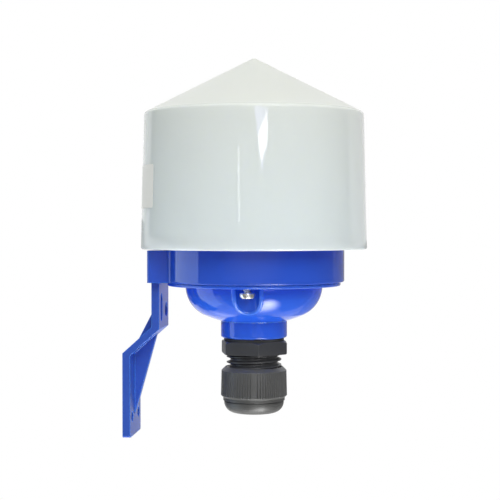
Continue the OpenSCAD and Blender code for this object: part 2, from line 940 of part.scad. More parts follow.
module terminal_screws() {
    reach = clamp_floor + clamp_size / 2 - terminal_head_z - terminal_screw_head_h;
    color("silver")
        on_axis()
            for (x = terminal_x)
                translate([x, 0, terminal_head_z + terminal_screw_head_h])
                    pan_screw(terminal_screw_d, reach, terminal_screw_head_d, terminal_screw_head_h);
}

module relay() {
    color("black")
        on_axis()
            on_board(relay_at)
                chamfered_box(relay_size, edge_cut);
}

module film_capacitor() {
    color("goldenrod")
        on_axis()
            on_board(film_at)
                chamfered_box(film_size, edge_cut);
}

module smoothing_capacitor() {
    can_r = can_d / 2;
    crimp_z = can_h / 6;
    color("midnightblue")
        on_axis()
            on_board(can_at)
                rotate_extrude()
                    difference() {
                        square([can_r, can_h]);
                        corner_cut([can_r, can_h], [0, can_h], [can_r, 0], edge_cut);
                        translate([can_r + edge_cut / 2, crimp_z])
                            circle(r = edge_cut);
                    }
}

// A lead from the board up to a component's end
module lead(height) {
    cylinder(d = lead_d, h = height);
}

module varistor() {
    centre = lead_foot + disc_d / 2;
    color("royalblue")
        on_axis()
            on_board(disc_at) {
                translate([0, disc_t / 2, centre])
                    rotate([90, 0, 0])
                        cylinder(d = disc_d, h = disc_t);
                for (x = [-disc_d / 4, disc_d / 4])
                    translate([x, 0, 0])
                        lead(centre);
            }
}

// A component that lies along Y on two bent leads
module axial_part(d, l) {
    axis_z = d / 2 + thread_gap;
    span = l + 2 * lead_reach;
    translate([0, l / 2, axis_z])
        rotate([90, 0, 0])
            cylinder(d = d, h = l);
    translate([0, span / 2, axis_z])
        rotate([90, 0, 0])
            lead(span);
    for (side = [-1, 1])
        translate([0, side * (span / 2 - lead_d / 2), 0])
            lead(axis_z);
}

module axial_row(count, d, l) {
    for (i = [0:count - 1])
        translate([(i - (count - 1) / 2) * axial_pitch, 0, 0])
            axial_part(d, l);
}

module rectifier_diodes() {
    color("black")
        on_axis()
            on_board(diodes_at)
                axial_row(diode_count, diode_d, diode_l);
}

module resistors() {
    color("tan")
        on_axis()
            on_board(resistors_at)
                axial_row(resistor_count, resistor_d, resistor_l);
}

module transistor() {
    pitch = transistor_d / 4;
    color("black")
        on_axis()
            on_board(transistor_at) {
                translate([0, 0, lead_foot])
                    difference() {
                        cylinder(d = transistor_d, h = transistor_h);
                        translate([-transistor_d, transistor_d / 4, -over])
                            cube([2 * transistor_d, transistor_d, transistor_h + 2 * over]);
                    }
                for (x = [-pitch, 0, pitch])
                    translate([x, 0, 0])
                        lead(lead_foot);
            }
}

module sensor_holder() {
    height = sensor_top - sensor_t - board_top;
    color("whitesmoke")
        on_axis()
            on_board(sensor_at)
                difference() {
                    cylinder(d = holder_d, h = height);
                    translate([0, 0, -over])
                        cylinder(d = holder_d - 2 * holder_wall, h = height + 2 * over);
                }
}

module light_sensor() {
    head_z = sensor_top - sensor_t - board_top;
    color("sandybrown")
        on_axis()
            on_board(sensor_at) {
                translate([0, 0, head_z])
                    cylinder(d = sensor_d, h = sensor_t);
                for (x = [-sensor_d / 4, sensor_d / 4])
                    translate([x, 0, 0])
                        lead(head_z);
            }
}

cap();
cap_seal();
base();
cover_gasket();
lower_cover();
cover_screws();
gland_body();
gland_washer();
gland_seal();
gland_nut();
circuit_board();
board_screws();
terminal_block();
wire_clamps();
terminal_screws();
relay();
film_capacitor();
smoothing_capacitor();
varistor();
rectifier_diodes();
resistors();
transistor();
sensor_holder();
light_sensor();
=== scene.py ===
"""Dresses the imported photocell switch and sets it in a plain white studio."""

from __future__ import annotations

import logging
import math
from dataclasses import dataclass
from enum import Enum
from functools import cache
from typing import Callable

import bmesh
import bpy
from mathutils import Matrix, Vector


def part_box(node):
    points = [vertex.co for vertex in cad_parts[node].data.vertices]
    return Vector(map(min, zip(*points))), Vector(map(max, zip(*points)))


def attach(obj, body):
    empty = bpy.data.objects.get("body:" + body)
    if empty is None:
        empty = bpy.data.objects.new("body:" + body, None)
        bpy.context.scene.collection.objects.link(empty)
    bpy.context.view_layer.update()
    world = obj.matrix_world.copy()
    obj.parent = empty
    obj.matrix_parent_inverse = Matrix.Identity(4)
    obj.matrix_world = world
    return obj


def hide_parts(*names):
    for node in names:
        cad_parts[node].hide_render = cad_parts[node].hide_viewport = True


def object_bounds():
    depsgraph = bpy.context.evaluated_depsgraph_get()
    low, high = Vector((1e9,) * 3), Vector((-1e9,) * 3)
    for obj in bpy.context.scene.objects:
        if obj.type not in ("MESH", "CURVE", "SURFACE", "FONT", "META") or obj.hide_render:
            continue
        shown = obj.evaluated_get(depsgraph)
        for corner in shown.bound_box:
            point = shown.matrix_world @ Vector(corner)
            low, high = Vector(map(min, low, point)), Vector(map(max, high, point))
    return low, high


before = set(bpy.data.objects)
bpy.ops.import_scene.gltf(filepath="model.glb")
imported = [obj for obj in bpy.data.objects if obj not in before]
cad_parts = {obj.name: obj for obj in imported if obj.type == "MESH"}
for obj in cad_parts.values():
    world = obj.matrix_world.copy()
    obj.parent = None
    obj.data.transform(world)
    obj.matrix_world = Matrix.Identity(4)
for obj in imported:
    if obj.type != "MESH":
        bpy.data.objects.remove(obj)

CAD_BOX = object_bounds()
MM = 0.001
LOG = logging.getLogger("photocell_switch")

Colour = tuple[float, float, float]
Span = tuple[float, float]
Inputs = dict[int | str, object]
Node = bpy.types.Node
Piece = bpy.types.Object
Socket = bpy.types.NodeSocket
Tree = bpy.types.NodeTree

PLAIN: Colour = (1.0, 1.0, 1.0)
PANEL_TINT: Colour = (0.72, 0.87, 1.0)


class Body(Enum):
    """The body that the modelled pieces ride on."""

    HOUSING = "housing"


class Slot(Enum):
    """The record's material slots."""

    OPAL = "opal_plastic"
    BLUE = "blue_plastic"
    NYLON = "black_nylon"
    RUBBER = "black_rubber"
    ELASTOMER = "blue_elastomer"
    ZINC = "zinc_steel"
    BOARD = "board_laminate"
    WHITE = "white_plastic"
    BRASS = "clamp_brass"
    RELAY = "relay_case"
    FILM = "film_case"
    CAN = "can_sleeve"
    DISC = "disc_coating"
    DIODE = "diode_case"
    RESISTOR = "resistor_coating"
    SENSOR = "sensor_face"


class Axis(Enum):
    """An axis of the part's frame, with its place in a vector."""

    X = 0
    Y = 1
    Z = 2


class Element(Enum):
    """A kind of mesh element, with the select mode that it needs."""

    VERTS = "VERT"
    EDGES = "EDGE"
    FACES = "FACE"


class Fuse(Enum):
    """A way to combine two solids."""

    JOIN = "UNION"
    CUT = "DIFFERENCE"
    COMMON = "INTERSECT"


# Shader graphs


class Graph:
    """A node tree with short calls for adding nodes.

    Attributes:
        MIX_INPUTS: Places of a colour mix's factor and its two colours.
        MIX_RESULT: Place of the mixed colour.
    """

    MIX_INPUTS = (0, 6, 7)
    MIX_RESULT = 2

    def __init__(self, tree: Tree) -> None:
        """Wraps a node tree."""
        self.tree = tree

    @classmethod
    def emptied(cls, owner: bpy.types.Material | bpy.types.World) -> Graph:
        """Opens a new material's or world's tree without its first nodes.

        Args:
            owner: The material or world.

        Returns:
            Its graph.
        """
        owner.use_nodes = True
        owner.node_tree.nodes.clear()
        return cls(owner.node_tree)

    def fill(self, node: Node, inputs: Inputs) -> Node:
        """Sets or links a node's inputs.

        Args:
            node: The node.
            inputs: Values, colours or source sockets, by input name or place.

        Returns:
            The node.
        """
        for name, value in inputs.items():
            target = node.inputs[name]
            if isinstance(value, Socket):
                self.tree.links.new(value, target)
            elif target.type == "RGBA":
                target.default_value = (*value, 1.0)
            else:
                target.default_value = value
        return node

    def add(self, kind: str, inputs: Inputs | None = None, **settings: object) -> Node:
        """Adds a node.

        Args:
            kind: The node's type name without its ShaderNode prefix.
            inputs: Values, colours or source sockets, by input name or place.
            **settings: Plain attributes of the node.

        Returns:
            The new node.
        """
        node = self.tree.nodes.new("ShaderNode" + kind)
        for name, value in settings.items():
            setattr(node, name, value)
        return self.fill(node, inputs or {})

    def noise(self, vector: Socket, scale: Socket, detail: float) -> Socket:
        """Adds a noise texture with so many octaves of detail and gives its value."""
        node = self.add("TexNoise", {"Vector": vector, "Scale": scale, "Detail": detail})
        return node.outputs["Fac"]

    def math(self, operation: str, *values: float | Socket) -> Socket:
        """Adds a math node and gives its result."""
        return self.add("Math", dict(enumerate(values)), operation=operation).outputs[0]

    def remap(
        self, value: Socket, source: Span, target: Span = (0.0, 1.0), smooth: bool = True
    ) -> Socket:
        """Maps a value from one range to another, clamped.

        Args:
            value: The value to map.
            source: The range that it has.
            target: The range that it gets.
            smooth: Whether the change is eased at both ends.

        Returns:
            The mapped value.
        """
        node = self.add(
            "MapRange",
            dict(enumerate((value, *source, *target))),
            interpolation_type="SMOOTHSTEP" if smooth else "LINEAR",
        )
        return node.outputs[0]

    def mix(
        self, factor: float | Socket, first: Colour | Socket, second: Colour | Socket
    ) -> Socket:
        """Mixes two colours, the factor being how much of the second shows."""
        inputs = dict(zip(self.MIX_INPUTS, (factor, first, second)))
        return self.add("Mix", inputs, data_type="RGBA").outputs[self.MIX_RESULT]

    def seen(self) -> Socket:
        """Tells rays that show a surface from rays that only carry its light.

        Returns:
            1 for camera, glossy and transmission rays, and 0 for others.
        """
        path = self.add("LightPath").outputs
        shown = self.math("MAXIMUM", path["Is Camera Ray"], path["Is Glossy Ray"])
        return self.math("MAXIMUM", shown, path["Is Transmission Ray"])

    def reach(self) -> Socket:
        """Gives the distance from the object's origin."""
        place = self.add("TexCoord").outputs["Object"]
        return self.add("VectorMath", {0: place}, operation="LENGTH").outputs["Value"]


class Effects:
    """The shader node groups that several finishes share, each built once.

    Attributes:
        GRAIN_DETAIL: Octaves of the grain.
        GRAIN_SHARE: Height of the grain beside the waviness.
        PEEL_DETAIL: Octaves of the waviness.
        PEEL_SCALE: Scale of the waviness, as a share of the grain's.
        MOTTLE_DETAIL: Octaves of the slow changes.
        MOTTLE_RANGE: Noise values between which the slow changes go from 0 to 1.
        EDGE_SAMPLES: Samples of the rounded normal.
        EDGE_COSINES: Cosines of its turn at which the mask of the painted edge highlight starts
            and is full.
        SPECK_SIZE: Radius of the largest speck, as a share of its cell.
    """

    GRAIN_DETAIL = 4.0
    GRAIN_SHARE = 0.45
    PEEL_DETAIL = 1.0
    PEEL_SCALE = 0.16
    MOTTLE_DETAIL = 5.0
    MOTTLE_RANGE = (0.32, 0.68)
    EDGE_SAMPLES = 6
    EDGE_COSINES = (0.995, 0.86)
    SPECK_SIZE = 0.22

    @staticmethod
    def _start(
        name: str, inputs: dict[str, str], outputs: dict[str, str]
    ) -> tuple[Graph, Node, Node]:
        """Starts a node group.

        Args:
            name: The group's name.
            inputs: Socket types by input name.
            outputs: Socket types by output name.

        Returns:
            The group's graph, its input node and its output node.
        """
        tree = bpy.data.node_groups.new(name, "ShaderNodeTree")
        for side, sockets in (("INPUT", inputs), ("OUTPUT", outputs)):
            for label, kind in sockets.items():
                tree.interface.new_socket(
                    label, in_out=side, socket_type="NodeSocket" + kind
                )
        source = tree.nodes.new("NodeGroupInput")
        target = tree.nodes.new("NodeGroupOutput")
        return Graph(tree), source, target

    @staticmethod
    @cache
    def moulded_skin() -> Tree:
        """Fine grain and slow tone changes of moulded plastic.

        Returns:
            A group with Height and Mottle outputs.
        """
        graph, source, target = Effects._start(
            "moulded_skin",
            {"Vector": "Vector", "Grain": "Float", "Mottle": "Float"},
            {"Height": "Float", "Mottle": "Float"},
        )
        vector = source.outputs["Vector"]
        grain = source.outputs["Grain"]
        fine = graph.noise(vector, grain, Effects.GRAIN_DETAIL)
        coarse = graph.math("MULTIPLY", grain, Effects.PEEL_SCALE)
        peel = graph.noise(vector, coarse, Effects.PEEL_DETAIL)
        height = graph.math("ADD", graph.math("MULTIPLY", fine, Effects.GRAIN_SHARE), peel)
        slow = graph.noise(vector, source.outputs["Mottle"], Effects.MOTTLE_DETAIL)
        mottle = graph.remap(slow, Effects.MOTTLE_RANGE)
        graph.fill(target, {"Height": height, "Mottle": mottle})
        return graph.tree

    @staticmethod
    @cache
    def soft_edge() -> Tree:
        """The small rounding that a mould leaves on every edge, and a mask of the edges for a
        painted highlight.

        Returns:
            A group with a mask of the edges for the painted edge highlight, and a rounded
            Normal.
        """
        graph, source, target = Effects._start(
            "soft_edge", {"Radius": "Float"}, {"Edge": "Float", "Normal": "Vector"}
        )
        bevel = graph.add(
            "Bevel", {"Radius": source.outputs["Radius"]}, samples=Effects.EDGE_SAMPLES
        )
        rounded = bevel.outputs["Normal"]
        plain = graph.add("NewGeometry").outputs["Normal"]
        cosine = graph.add("VectorMath", {0: rounded, 1: plain}, operation="DOT_PRODUCT")
        # Mask of the edges, used only for the painted edge highlight.
        edge = graph.remap(cosine.outputs["Value"], Effects.EDGE_COSINES)
        graph.fill(target, {"Edge": edge, "Normal": rounded})
        return graph.tree

    @staticmethod
    @cache
    def dust_specks() -> Tree:
        """Sparse pale specks of dust.

        Returns:
            A group with a Specks mask.
        """
        graph, source, target = Effects._start(
            "dust_specks",
            {"Vector": "Vector", "Scale": "Float", "Amount": "Float"},
            {"Specks": "Float"},
        )
        cells = graph.add(
            "TexVoronoi",
            {"Vector": source.outputs["Vector"], "Scale": source.outputs["Scale"]},
        )
        draw = graph.add("SeparateColor", {0: cells.outputs["Color"]})
        kept = graph.math("LESS_THAN", draw.outputs[0], source.outputs["Amount"])
        size = graph.math("MULTIPLY", draw.outputs[1], Effects.SPECK_SIZE)
        near = graph.math("LESS_THAN", cells.outputs["Distance"], size)
        graph.fill(target, {"Specks": graph.math("MULTIPLY", kept, near)})
        return graph.tree


# Finishes


@dataclass(frozen=True)
class Spot:
    """What a finish knows of the place that it colours.

    Attributes:
        graph: The material's graph.
        place: Object coordinates.
        mottle: The slow change from 0 to 1.
    """

    graph: Graph
    place: Socket
    mottle: Socket

    def along(self, axis: Axis) -> Socket:
        """Gives one of the place's coordinates."""
        return self.graph.add("SeparateXYZ", {0: self.place}).outputs[axis.value]


@dataclass(frozen=True)
class Finish:
    """A surface finish that becomes one material.

    Attributes:
        name: The material's name.
        slot: The record's slot that it stands for.
        tone: The main colour.
        shade: The second colour that the tone drifts to.
        gloss: Lowest and highest roughness.
        grain: Scale of the fine grain.
        depth: Height of the grain in metres.
        mottle: Scale of the slow changes.
        edge: Radius of the soft edges in metres.
        edge_highlight_tint: Colour of the painted highlight that lightens the edges.
        edge_highlight_share: How much of that painted highlight shows.
        dust: Share of cells that hold a speck.
        dust_scale: Scale of those cells.
        dust_tone: Colour of a speck.
        dust_dull: How much rougher a speck is.
        metallic: 1 for bare metal, 0 for anything else.
    """

    name: str
    slot: Slot
    tone: Colour
    shade: Colour
    gloss: Span = (0.25, 0.35)
    grain: float = 900.0
    depth: float = 0.00001
    mottle: float = 40.0
    edge: float = 0.0003
    edge_highlight_tint: Colour = (0.8, 0.8, 0.8)
    edge_highlight_share: float = 0.0
    dust: float = 0.0
    dust_scale: float = 260.0
    dust_tone: Colour = (0.62, 0.66, 0.74)
    dust_dull: float = 0.4
    metallic: float = 0.0

    def material(self) -> bpy.types.Material:
        """Gives the material, made on first use.

        Returns:
            The material.
        """
        made = bpy.data.materials.get("finish_" + self.name)
        if made is None:
            made = bpy.data.materials.new("finish_" + self.name)
            made.use_nodes = True
            self._build(Graph(made.node_tree), made.node_tree.nodes["Principled BSDF"])
        return made

    def _build(self, graph: Graph, shader: Node) -> None:
        """Builds the shader.

        Args:
            graph: The material's graph.
            shader: Its principled shader.
        """
        place = graph.add("TexCoord").outputs["Object"]
        skin = graph.add(
            "Group",
            {"Vector": place, "Grain": self.grain, "Mottle": self.mottle},
            node_tree=Effects.moulded_skin(),
        )
        # The group gives the rounded normal, and the mask for the painted edge highlight.
        edge = graph.add("Group", {"Radius": self.edge}, node_tree=Effects.soft_edge())
        spot = Spot(graph, place, skin.outputs["Mottle"])
        colour = self._pattern(spot)
        rough = self._roughness(spot)
        # Painted highlight: the edges are lightened as if they caught light.
        if self.edge_highlight_share:
            share = graph.math("MULTIPLY", edge.outputs["Edge"], self.edge_highlight_share)
            colour = graph.mix(share, colour, self.edge_highlight_tint)
        if self.dust:
            dust = graph.add(
                "Group",
                {"Vector": place, "Scale": self.dust_scale, "Amount": self.dust},
                node_tree=Effects.dust_specks(),
            )
            specks = dust.outputs["Specks"]
            colour = graph.mix(specks, colour, self.dust_tone)
            rough = graph.math("ADD", rough, graph.math("MULTIPLY", specks, self.dust_dull))
        bump = graph.add(
            "Bump",
            {
                "Height": skin.outputs["Height"],
                "Distance": self.depth,
                "Strength": 1.0,
                "Normal": edge.outputs["Normal"],
            },
        )
        graph.fill(
            shader,
            {
                "Base Color": colour,
                "Roughness": rough,
                "Normal": bump.outputs["Normal"],
                "Metallic": self.metallic,
            },
        )
        self._tune(graph, shader)

    def _pattern(self, spot: Spot) -> Socket:
        """Gives the colour over the surface."""
        return spot.graph.mix(spot.mottle, self.tone, self.shade)

    def _roughness(self, spot: Spot) -> Socket:
        """Gives the roughness over the surface."""
        return spot.graph.remap(spot.mottle, (0.0, 1.0), self.gloss, smooth=False)

    def _tune(self, graph: Graph, shader: Node) -> None:
        """Sets what else a finish needs of the shader, by default nothing."""

    def dress(self, piece: Piece) -> None:
        """Gives a piece this finish and no other."""
        piece.data.materials.clear()
        piece.data.materials.append(self.material())


@dataclass(frozen=True)
class OpalFinish(Finish):
    """Milky, glossy plastic that spreads light, with painted bluish light towards the housing.

    Attributes:
        spread: How far light spreads inside the wall.
        spread_tint: How far each colour of it spreads, as a share.
        share: How much of the light does so.
        index: Refractive index.
        painted_bounce_tone: Painted light at the bottom edge, bluish and lighter as if lit from
            the housing below.
        low_z: Height of the bottom edge.
        high_z: Height at which the main colour starts.
        roof_z: Heights between which the wall's gloss ends.
        roof_dull: How much rougher the roof is.
    """

    spread: float = 0.0035
    spread_tint: Colour = (1.0, 1.0, 0.9)
    share: float = 0.6
    index: float = 1.49
    # Painted light: the wall near the blue housing is coloured as if lit bluish from below.
    painted_bounce_tone: Colour = (0.82, 0.915, 0.925)
    low_z: float = 60.1 * MM
    high_z: float = 112.0 * MM
    roof_z: Span = (108.4 * MM, 109.2 * MM)
    roof_dull: float = 0.30

    def _pattern(self, spot: Spot) -> Socket:
        """Gives the colour, with painted light that turns it bluish and lighter towards the
        bottom edge.
        """
        low = spot.graph.remap(spot.along(Axis.Z), (self.high_z, self.low_z), smooth=False)
        return spot.graph.mix(low, super()._pattern(spot), self.painted_bounce_tone)

    def _roughness(self, spot: Spot) -> Socket:
        """Gives the roughness, higher on the roof.

        Args:
            spot: The place that is shaded.

        Returns:
            The roughness.
        """
        roof = spot.graph.remap(spot.along(Axis.Z), self.roof_z)
        dull = spot.graph.math("MULTIPLY", roof, self.roof_dull)
        return spot.graph.math("ADD", super()._roughness(spot), dull)

    def _tune(self, graph: Graph, shader: Node) -> None:
        """Sets the light that spreads inside the wall.

        Args:
            graph: The material's graph.
            shader: Its principled shader.
        """
        graph.fill(
            shader,
            {
                "Subsurface Weight": self.share,
                "Subsurface Radius": self.spread_tint,
                "Subsurface Scale": self.spread,
                "IOR": self.index,
            },
        )


@dataclass(frozen=True)
class HousingFinish(Finish):
    """Glossy moulded plastic that is duller on the bracket's plates, where shade is painted in
    a darker blue.

    Its gloss, grain, depth, mottle and edge are those of all blue mouldings.

    Attributes:
        plate_x: How far from the wall the bracket reaches.
        plate_z: How high up the bracket reaches.
        plate_dull: How much rougher its plates are.
        plate_painted_shade: Darker colour of its plates, painted shade.
    """

    gloss: Span = (0.045, 0.085)
    grain: float = 700.0
    depth: float = 0.000003
    mottle: float = 35.0
    edge: float = 0.0005
    plate_x: float = 14.2 * MM
    plate_z: float = 48.2 * MM
    plate_dull: float = 0.28
    # Painted shade: the plates are darkened as if less lit.
    plate_painted_shade: Colour = (0.020, 0.084, 0.48)

    def _plates(self, spot: Spot) -> Socket:
        """Gives a mask of the bracket's plates.

        Args:
            spot: The place that is shaded.

        Returns:
            1 on the plates, and 0 elsewhere.
        """
        near = spot.graph.math("LESS_THAN", spot.along(Axis.X), self.plate_x)
        low = spot.graph.math("LESS_THAN", spot.along(Axis.Z), self.plate_z)
        return spot.graph.math("MULTIPLY", near, low)

    def _pattern(self, spot: Spot) -> Socket:
        """Gives the colour, with painted shade that darkens the plates."""
        return spot.graph.mix(self._plates(spot), super()._pattern(spot), self.plate_painted_shade)

    def _roughness(self, spot: Spot) -> Socket:
        """Gives the roughness, higher on the plates."""
        dull = spot.graph.math("MULTIPLY", self._plates(spot), self.plate_dull)
        return spot.graph.math("ADD", super()._roughness(spot), dull)


@dataclass(frozen=True)
class BandFinish(Finish):
    """A round component with bands across its length.

    Attributes:
        axis: The axis that it lies along.
        centre: Its middle on that axis.
        bands: Start from the middle, width and colour of each band.
    """

    axis: Axis = Axis.Y
    centre: float = 0.0
    bands: tuple[tuple[float, float, Colour], ...] = ()

    def _pattern(self, spot: Spot) -> Socket:
        """Lays the bands over the body's colour.

        Args:
            spot: The place that is shaded.

        Returns:
            The colour.
        """
        graph = spot.graph
        colour = super()._pattern(spot)
        along = spot.along(self.axis)
        for start, width, tint in self.bands:
            off = graph.math("SUBTRACT", along, self.centre + start + width / 2)
            inside = graph.math("LESS_THAN", graph.math("ABSOLUTE", off), width / 2)
            colour = graph.mix(inside, colour, tint)
        return colour


@dataclass(frozen=True)
class BoardFinish(Finish):
    """Glass laminate with copper lands under green lacquer.

    Attributes:
        track_scale: Scale of the tracks.
        track_width: Width of a track, as a share of its cell.
        track_blur: Softness of a track's sides.
        track_tone: Colour of the tracks.
        pad_scale: Scale of the lands.
        pad_size: Radius of a land, as a share of its cell.
        pad_tone: Colour of the lands.
    """

    track_scale: float = 120.0
    track_width: float = 0.055
    track_blur: float = 0.2
    track_tone: Colour = (0.05, 0.30, 0.10)
    pad_scale: float = 260.0
    pad_size: float = 0.16
    pad_tone: Colour = (0.55, 0.52, 0.45)

    def _pattern(self, spot: Spot) -> Socket:
        """Draws lands and tracks under the lacquer.

        Args:
            spot: The place that is shaded.

        Returns:
            The colour.
        """
        tracks = spot.graph.add(
            "TexBrick",
            {
                "Vector": spot.place,
                "Scale": self.track_scale,
                "Mortar Size": self.track_width,
                "Mortar Smooth": self.track_blur,
            },
        )
        lifted = spot.graph.mix(
            tracks.outputs["Fac"], super()._pattern(spot), self.track_tone
        )
        pads = spot.graph.add("TexVoronoi", {"Vector": spot.place, "Scale": self.pad_scale})
        pad = spot.graph.math("LESS_THAN", pads.outputs["Distance"], self.pad_size)
        return spot.graph.mix(pad, lifted, self.pad_tone)


@dataclass(frozen=True)
class SensorFinish(Finish):
    """The photocell's face with its winding track.

    Attributes:
        wave_scale: Scale of the windings.
        wave_bend: How much they wander.
        wave_cut: Height of the wave at which the track starts.
        track_tone: Colour of the track.
    """

    wave_scale: float = 420.0
    wave_bend: float = 0.6
    wave_cut: float = 0.6
    track_tone: Colour = (0.6, 0.09, 0.02)

    def _pattern(self, spot: Spot) -> Socket:
        """Draws the winding track.

        Args:
            spot: The place that is shaded.

        Returns:
            The colour.
        """
        wave = spot.graph.add(
            "TexWave",
            {"Vector": spot.place, "Scale": self.wave_scale, "Distortion": self.wave_bend},
        )
        track = spot.graph.math("GREATER_THAN", wave.outputs["Fac"], self.wave_cut)
        return spot.graph.mix(track, super()._pattern(spot), self.track_tone)


LEAD_TONE: Colour = (0.6, 0.58, 0.55)

OPAL = OpalFinish(
    "opal_cap", Slot.OPAL, (0.80, 0.838, 0.800), (0.79, 0.828, 0.790),
    gloss=(0.008, 0.02), grain=500.0, depth=0.000002, mottle=18.0, edge=0.0004,
)
# The base's edges carry a painted highlight in light blue.
BLUE = HousingFinish(
    "blue_housing", Slot.BLUE, (0.021, 0.093, 0.62), (0.018, 0.084, 0.575),
    edge_highlight_tint=(0.05, 0.29, 1.0), edge_highlight_share=0.9, dust=0.012,
)
# Painted light: the cover is a lighter blue than the base, standing in for the strong light
# from below, and its edges carry a painted highlight.
LIT_COVER = HousingFinish(
    "blue_cover_lit", Slot.BLUE, (0.025, 0.128, 0.79), (0.022, 0.115, 0.735),
    edge_highlight_tint=(0.14, 0.42, 1.0), edge_highlight_share=0.95, dust=0.008,
)
# Painted highlight: the pocket rims are a lighter blue than the housing, standing in for the
# light that their rounding catches.
RIM_HIGHLIGHT = HousingFinish(
    "blue_rim_highlight", Slot.BLUE, (0.05, 0.195, 0.90), (0.042, 0.175, 0.84),
)
# The gland body's edges carry a painted highlight in pale grey.
GLAND = Finish(
    "gland_nylon", Slot.NYLON, (0.044, 0.045, 0.049), (0.036, 0.037, 0.040),
    gloss=(0.32, 0.42), grain=1600.0, depth=0.00001, mottle=120.0, edge=0.00025,
    edge_highlight_tint=(0.14, 0.14, 0.15), edge_highlight_share=0.5, dust=0.004,
)
# The nut's edges carry a painted highlight in pale grey.
NYLON = Finish(
    "nut_nylon", Slot.NYLON, (0.077, 0.077, 0.074), (0.063, 0.063, 0.061),
    gloss=(0.38, 0.48), grain=1600.0, depth=0.000012, mottle=120.0, edge=0.00025,
    edge_highlight_tint=(0.12, 0.12, 0.125), edge_highlight_share=0.4, dust=0.004,
)
RUBBER = Finish(
    "seal_rubber", Slot.RUBBER, (0.016, 0.016, 0.017), (0.024, 0.024, 0.024),
    gloss=(0.6, 0.75), grain=2200.0, depth=0.00001, mottle=160.0, edge=0.0002,
)
# Painted light: the gasket is a brighter blue than the housing, so that the shaded gap between
# ring and lip shows light.
LIT_GASKET = Finish(
    "gasket_sheet_lit", Slot.ELASTOMER, (0.035, 0.22, 0.95), (0.032, 0.20, 0.88),
    gloss=(0.5, 0.65), grain=1800.0, depth=0.000008, mottle=150.0, edge=0.0002,
)
ZINC = Finish(
    "zinc_screw", Slot.ZINC, (0.78, 0.77, 0.74), (0.62, 0.62, 0.61),
    gloss=(0.18, 0.34), grain=1400.0, depth=0.000006, mottle=420.0, edge=0.0001,
    metallic=1.0,
)
PAPER = Finish(
    "label_sheet", Slot.OPAL, (0.93, 0.92, 0.87), (0.90, 0.89, 0.84),
    gloss=(0.32, 0.42), grain=1900.0, depth=0.000006, mottle=90.0, edge=0.0001,
)
WHITE = Finish(
    "white_moulding", Slot.WHITE, (0.74, 0.74, 0.70), (0.66, 0.66, 0.62),
    gloss=(0.3, 0.42), mottle=60.0,
)
BRASS = Finish(
    "clamp_brass", Slot.BRASS, (0.78, 0.56, 0.22), (0.62, 0.42, 0.15),
    gloss=(0.2, 0.36), grain=1200.0, depth=0.000006, mottle=300.0, edge=0.0002,
    metallic=1.0,
)
RELAY = Finish(
    "relay_case", Slot.RELAY, (0.012, 0.012, 0.014), (0.02, 0.02, 0.022),
    gloss=(0.28, 0.4), mottle=70.0, edge=0.0004,
)
FILM = Finish(
    "film_case", Slot.FILM, (0.66, 0.36, 0.03), (0.56, 0.29, 0.02),
    gloss=(0.2, 0.3), mottle=90.0, edge=0.0005,
)
CAN = BandFinish(
    "can_sleeve", Slot.CAN, (0.012, 0.016, 0.05), (0.018, 0.022, 0.06),
    gloss=(0.2, 0.3), mottle=120.0, axis=Axis.X, centre=0.0521,
    bands=((0.0, 0.0016, (0.5, 0.5, 0.48)),),
)
DISC = Finish(
    "surge_disc", Slot.DISC, (0.02, 0.09, 0.34), (0.015, 0.07, 0.28),
    gloss=(0.24, 0.36), mottle=150.0, depth=0.00003, edge=0.0006,
)
DIODE = BandFinish(
    "diode_case", Slot.DIODE, (0.01, 0.01, 0.011), (0.018, 0.018, 0.019),
    gloss=(0.3, 0.45), mottle=200.0,
    bands=(
        (0.0013, 0.0008, (0.6, 0.6, 0.6)),
        (0.0026, 0.004, LEAD_TONE),
        (-0.0066, 0.004, LEAD_TONE),
    ),
)
DRIVER = Finish(
    "driver_case", Slot.DIODE, (0.01, 0.01, 0.011), (0.02, 0.02, 0.021),
    gloss=(0.35, 0.5), mottle=200.0,
)
RESISTOR = BandFinish(
    "resistor_coat", Slot.RESISTOR, (0.52, 0.34, 0.16), (0.45, 0.28, 0.13),
    gloss=(0.28, 0.4), mottle=200.0,
    bands=(
        (-0.0022, 0.0006, (0.16, 0.05, 0.01)),
        (-0.0009, 0.0006, (0.01, 0.01, 0.01)),
        (0.0004, 0.0006, (0.45, 0.1, 0.01)),
        (0.0019, 0.0006, (0.42, 0.28, 0.05)),
        (0.00315, 0.004, LEAD_TONE),
        (-0.00715, 0.004, LEAD_TONE),
    ),
)
BOARD = BoardFinish(
    "board_lacquer", Slot.BOARD, (0.015, 0.14, 0.05), (0.012, 0.11, 0.04),
    gloss=(0.25, 0.38), mottle=80.0,
)
SENSOR = SensorFinish(
    "sensor_face", Slot.SENSOR, (0.62, 0.52, 0.40), (0.55, 0.45, 0.34),
    gloss=(0.15, 0.25), mottle=140.0,
)


# Modelling


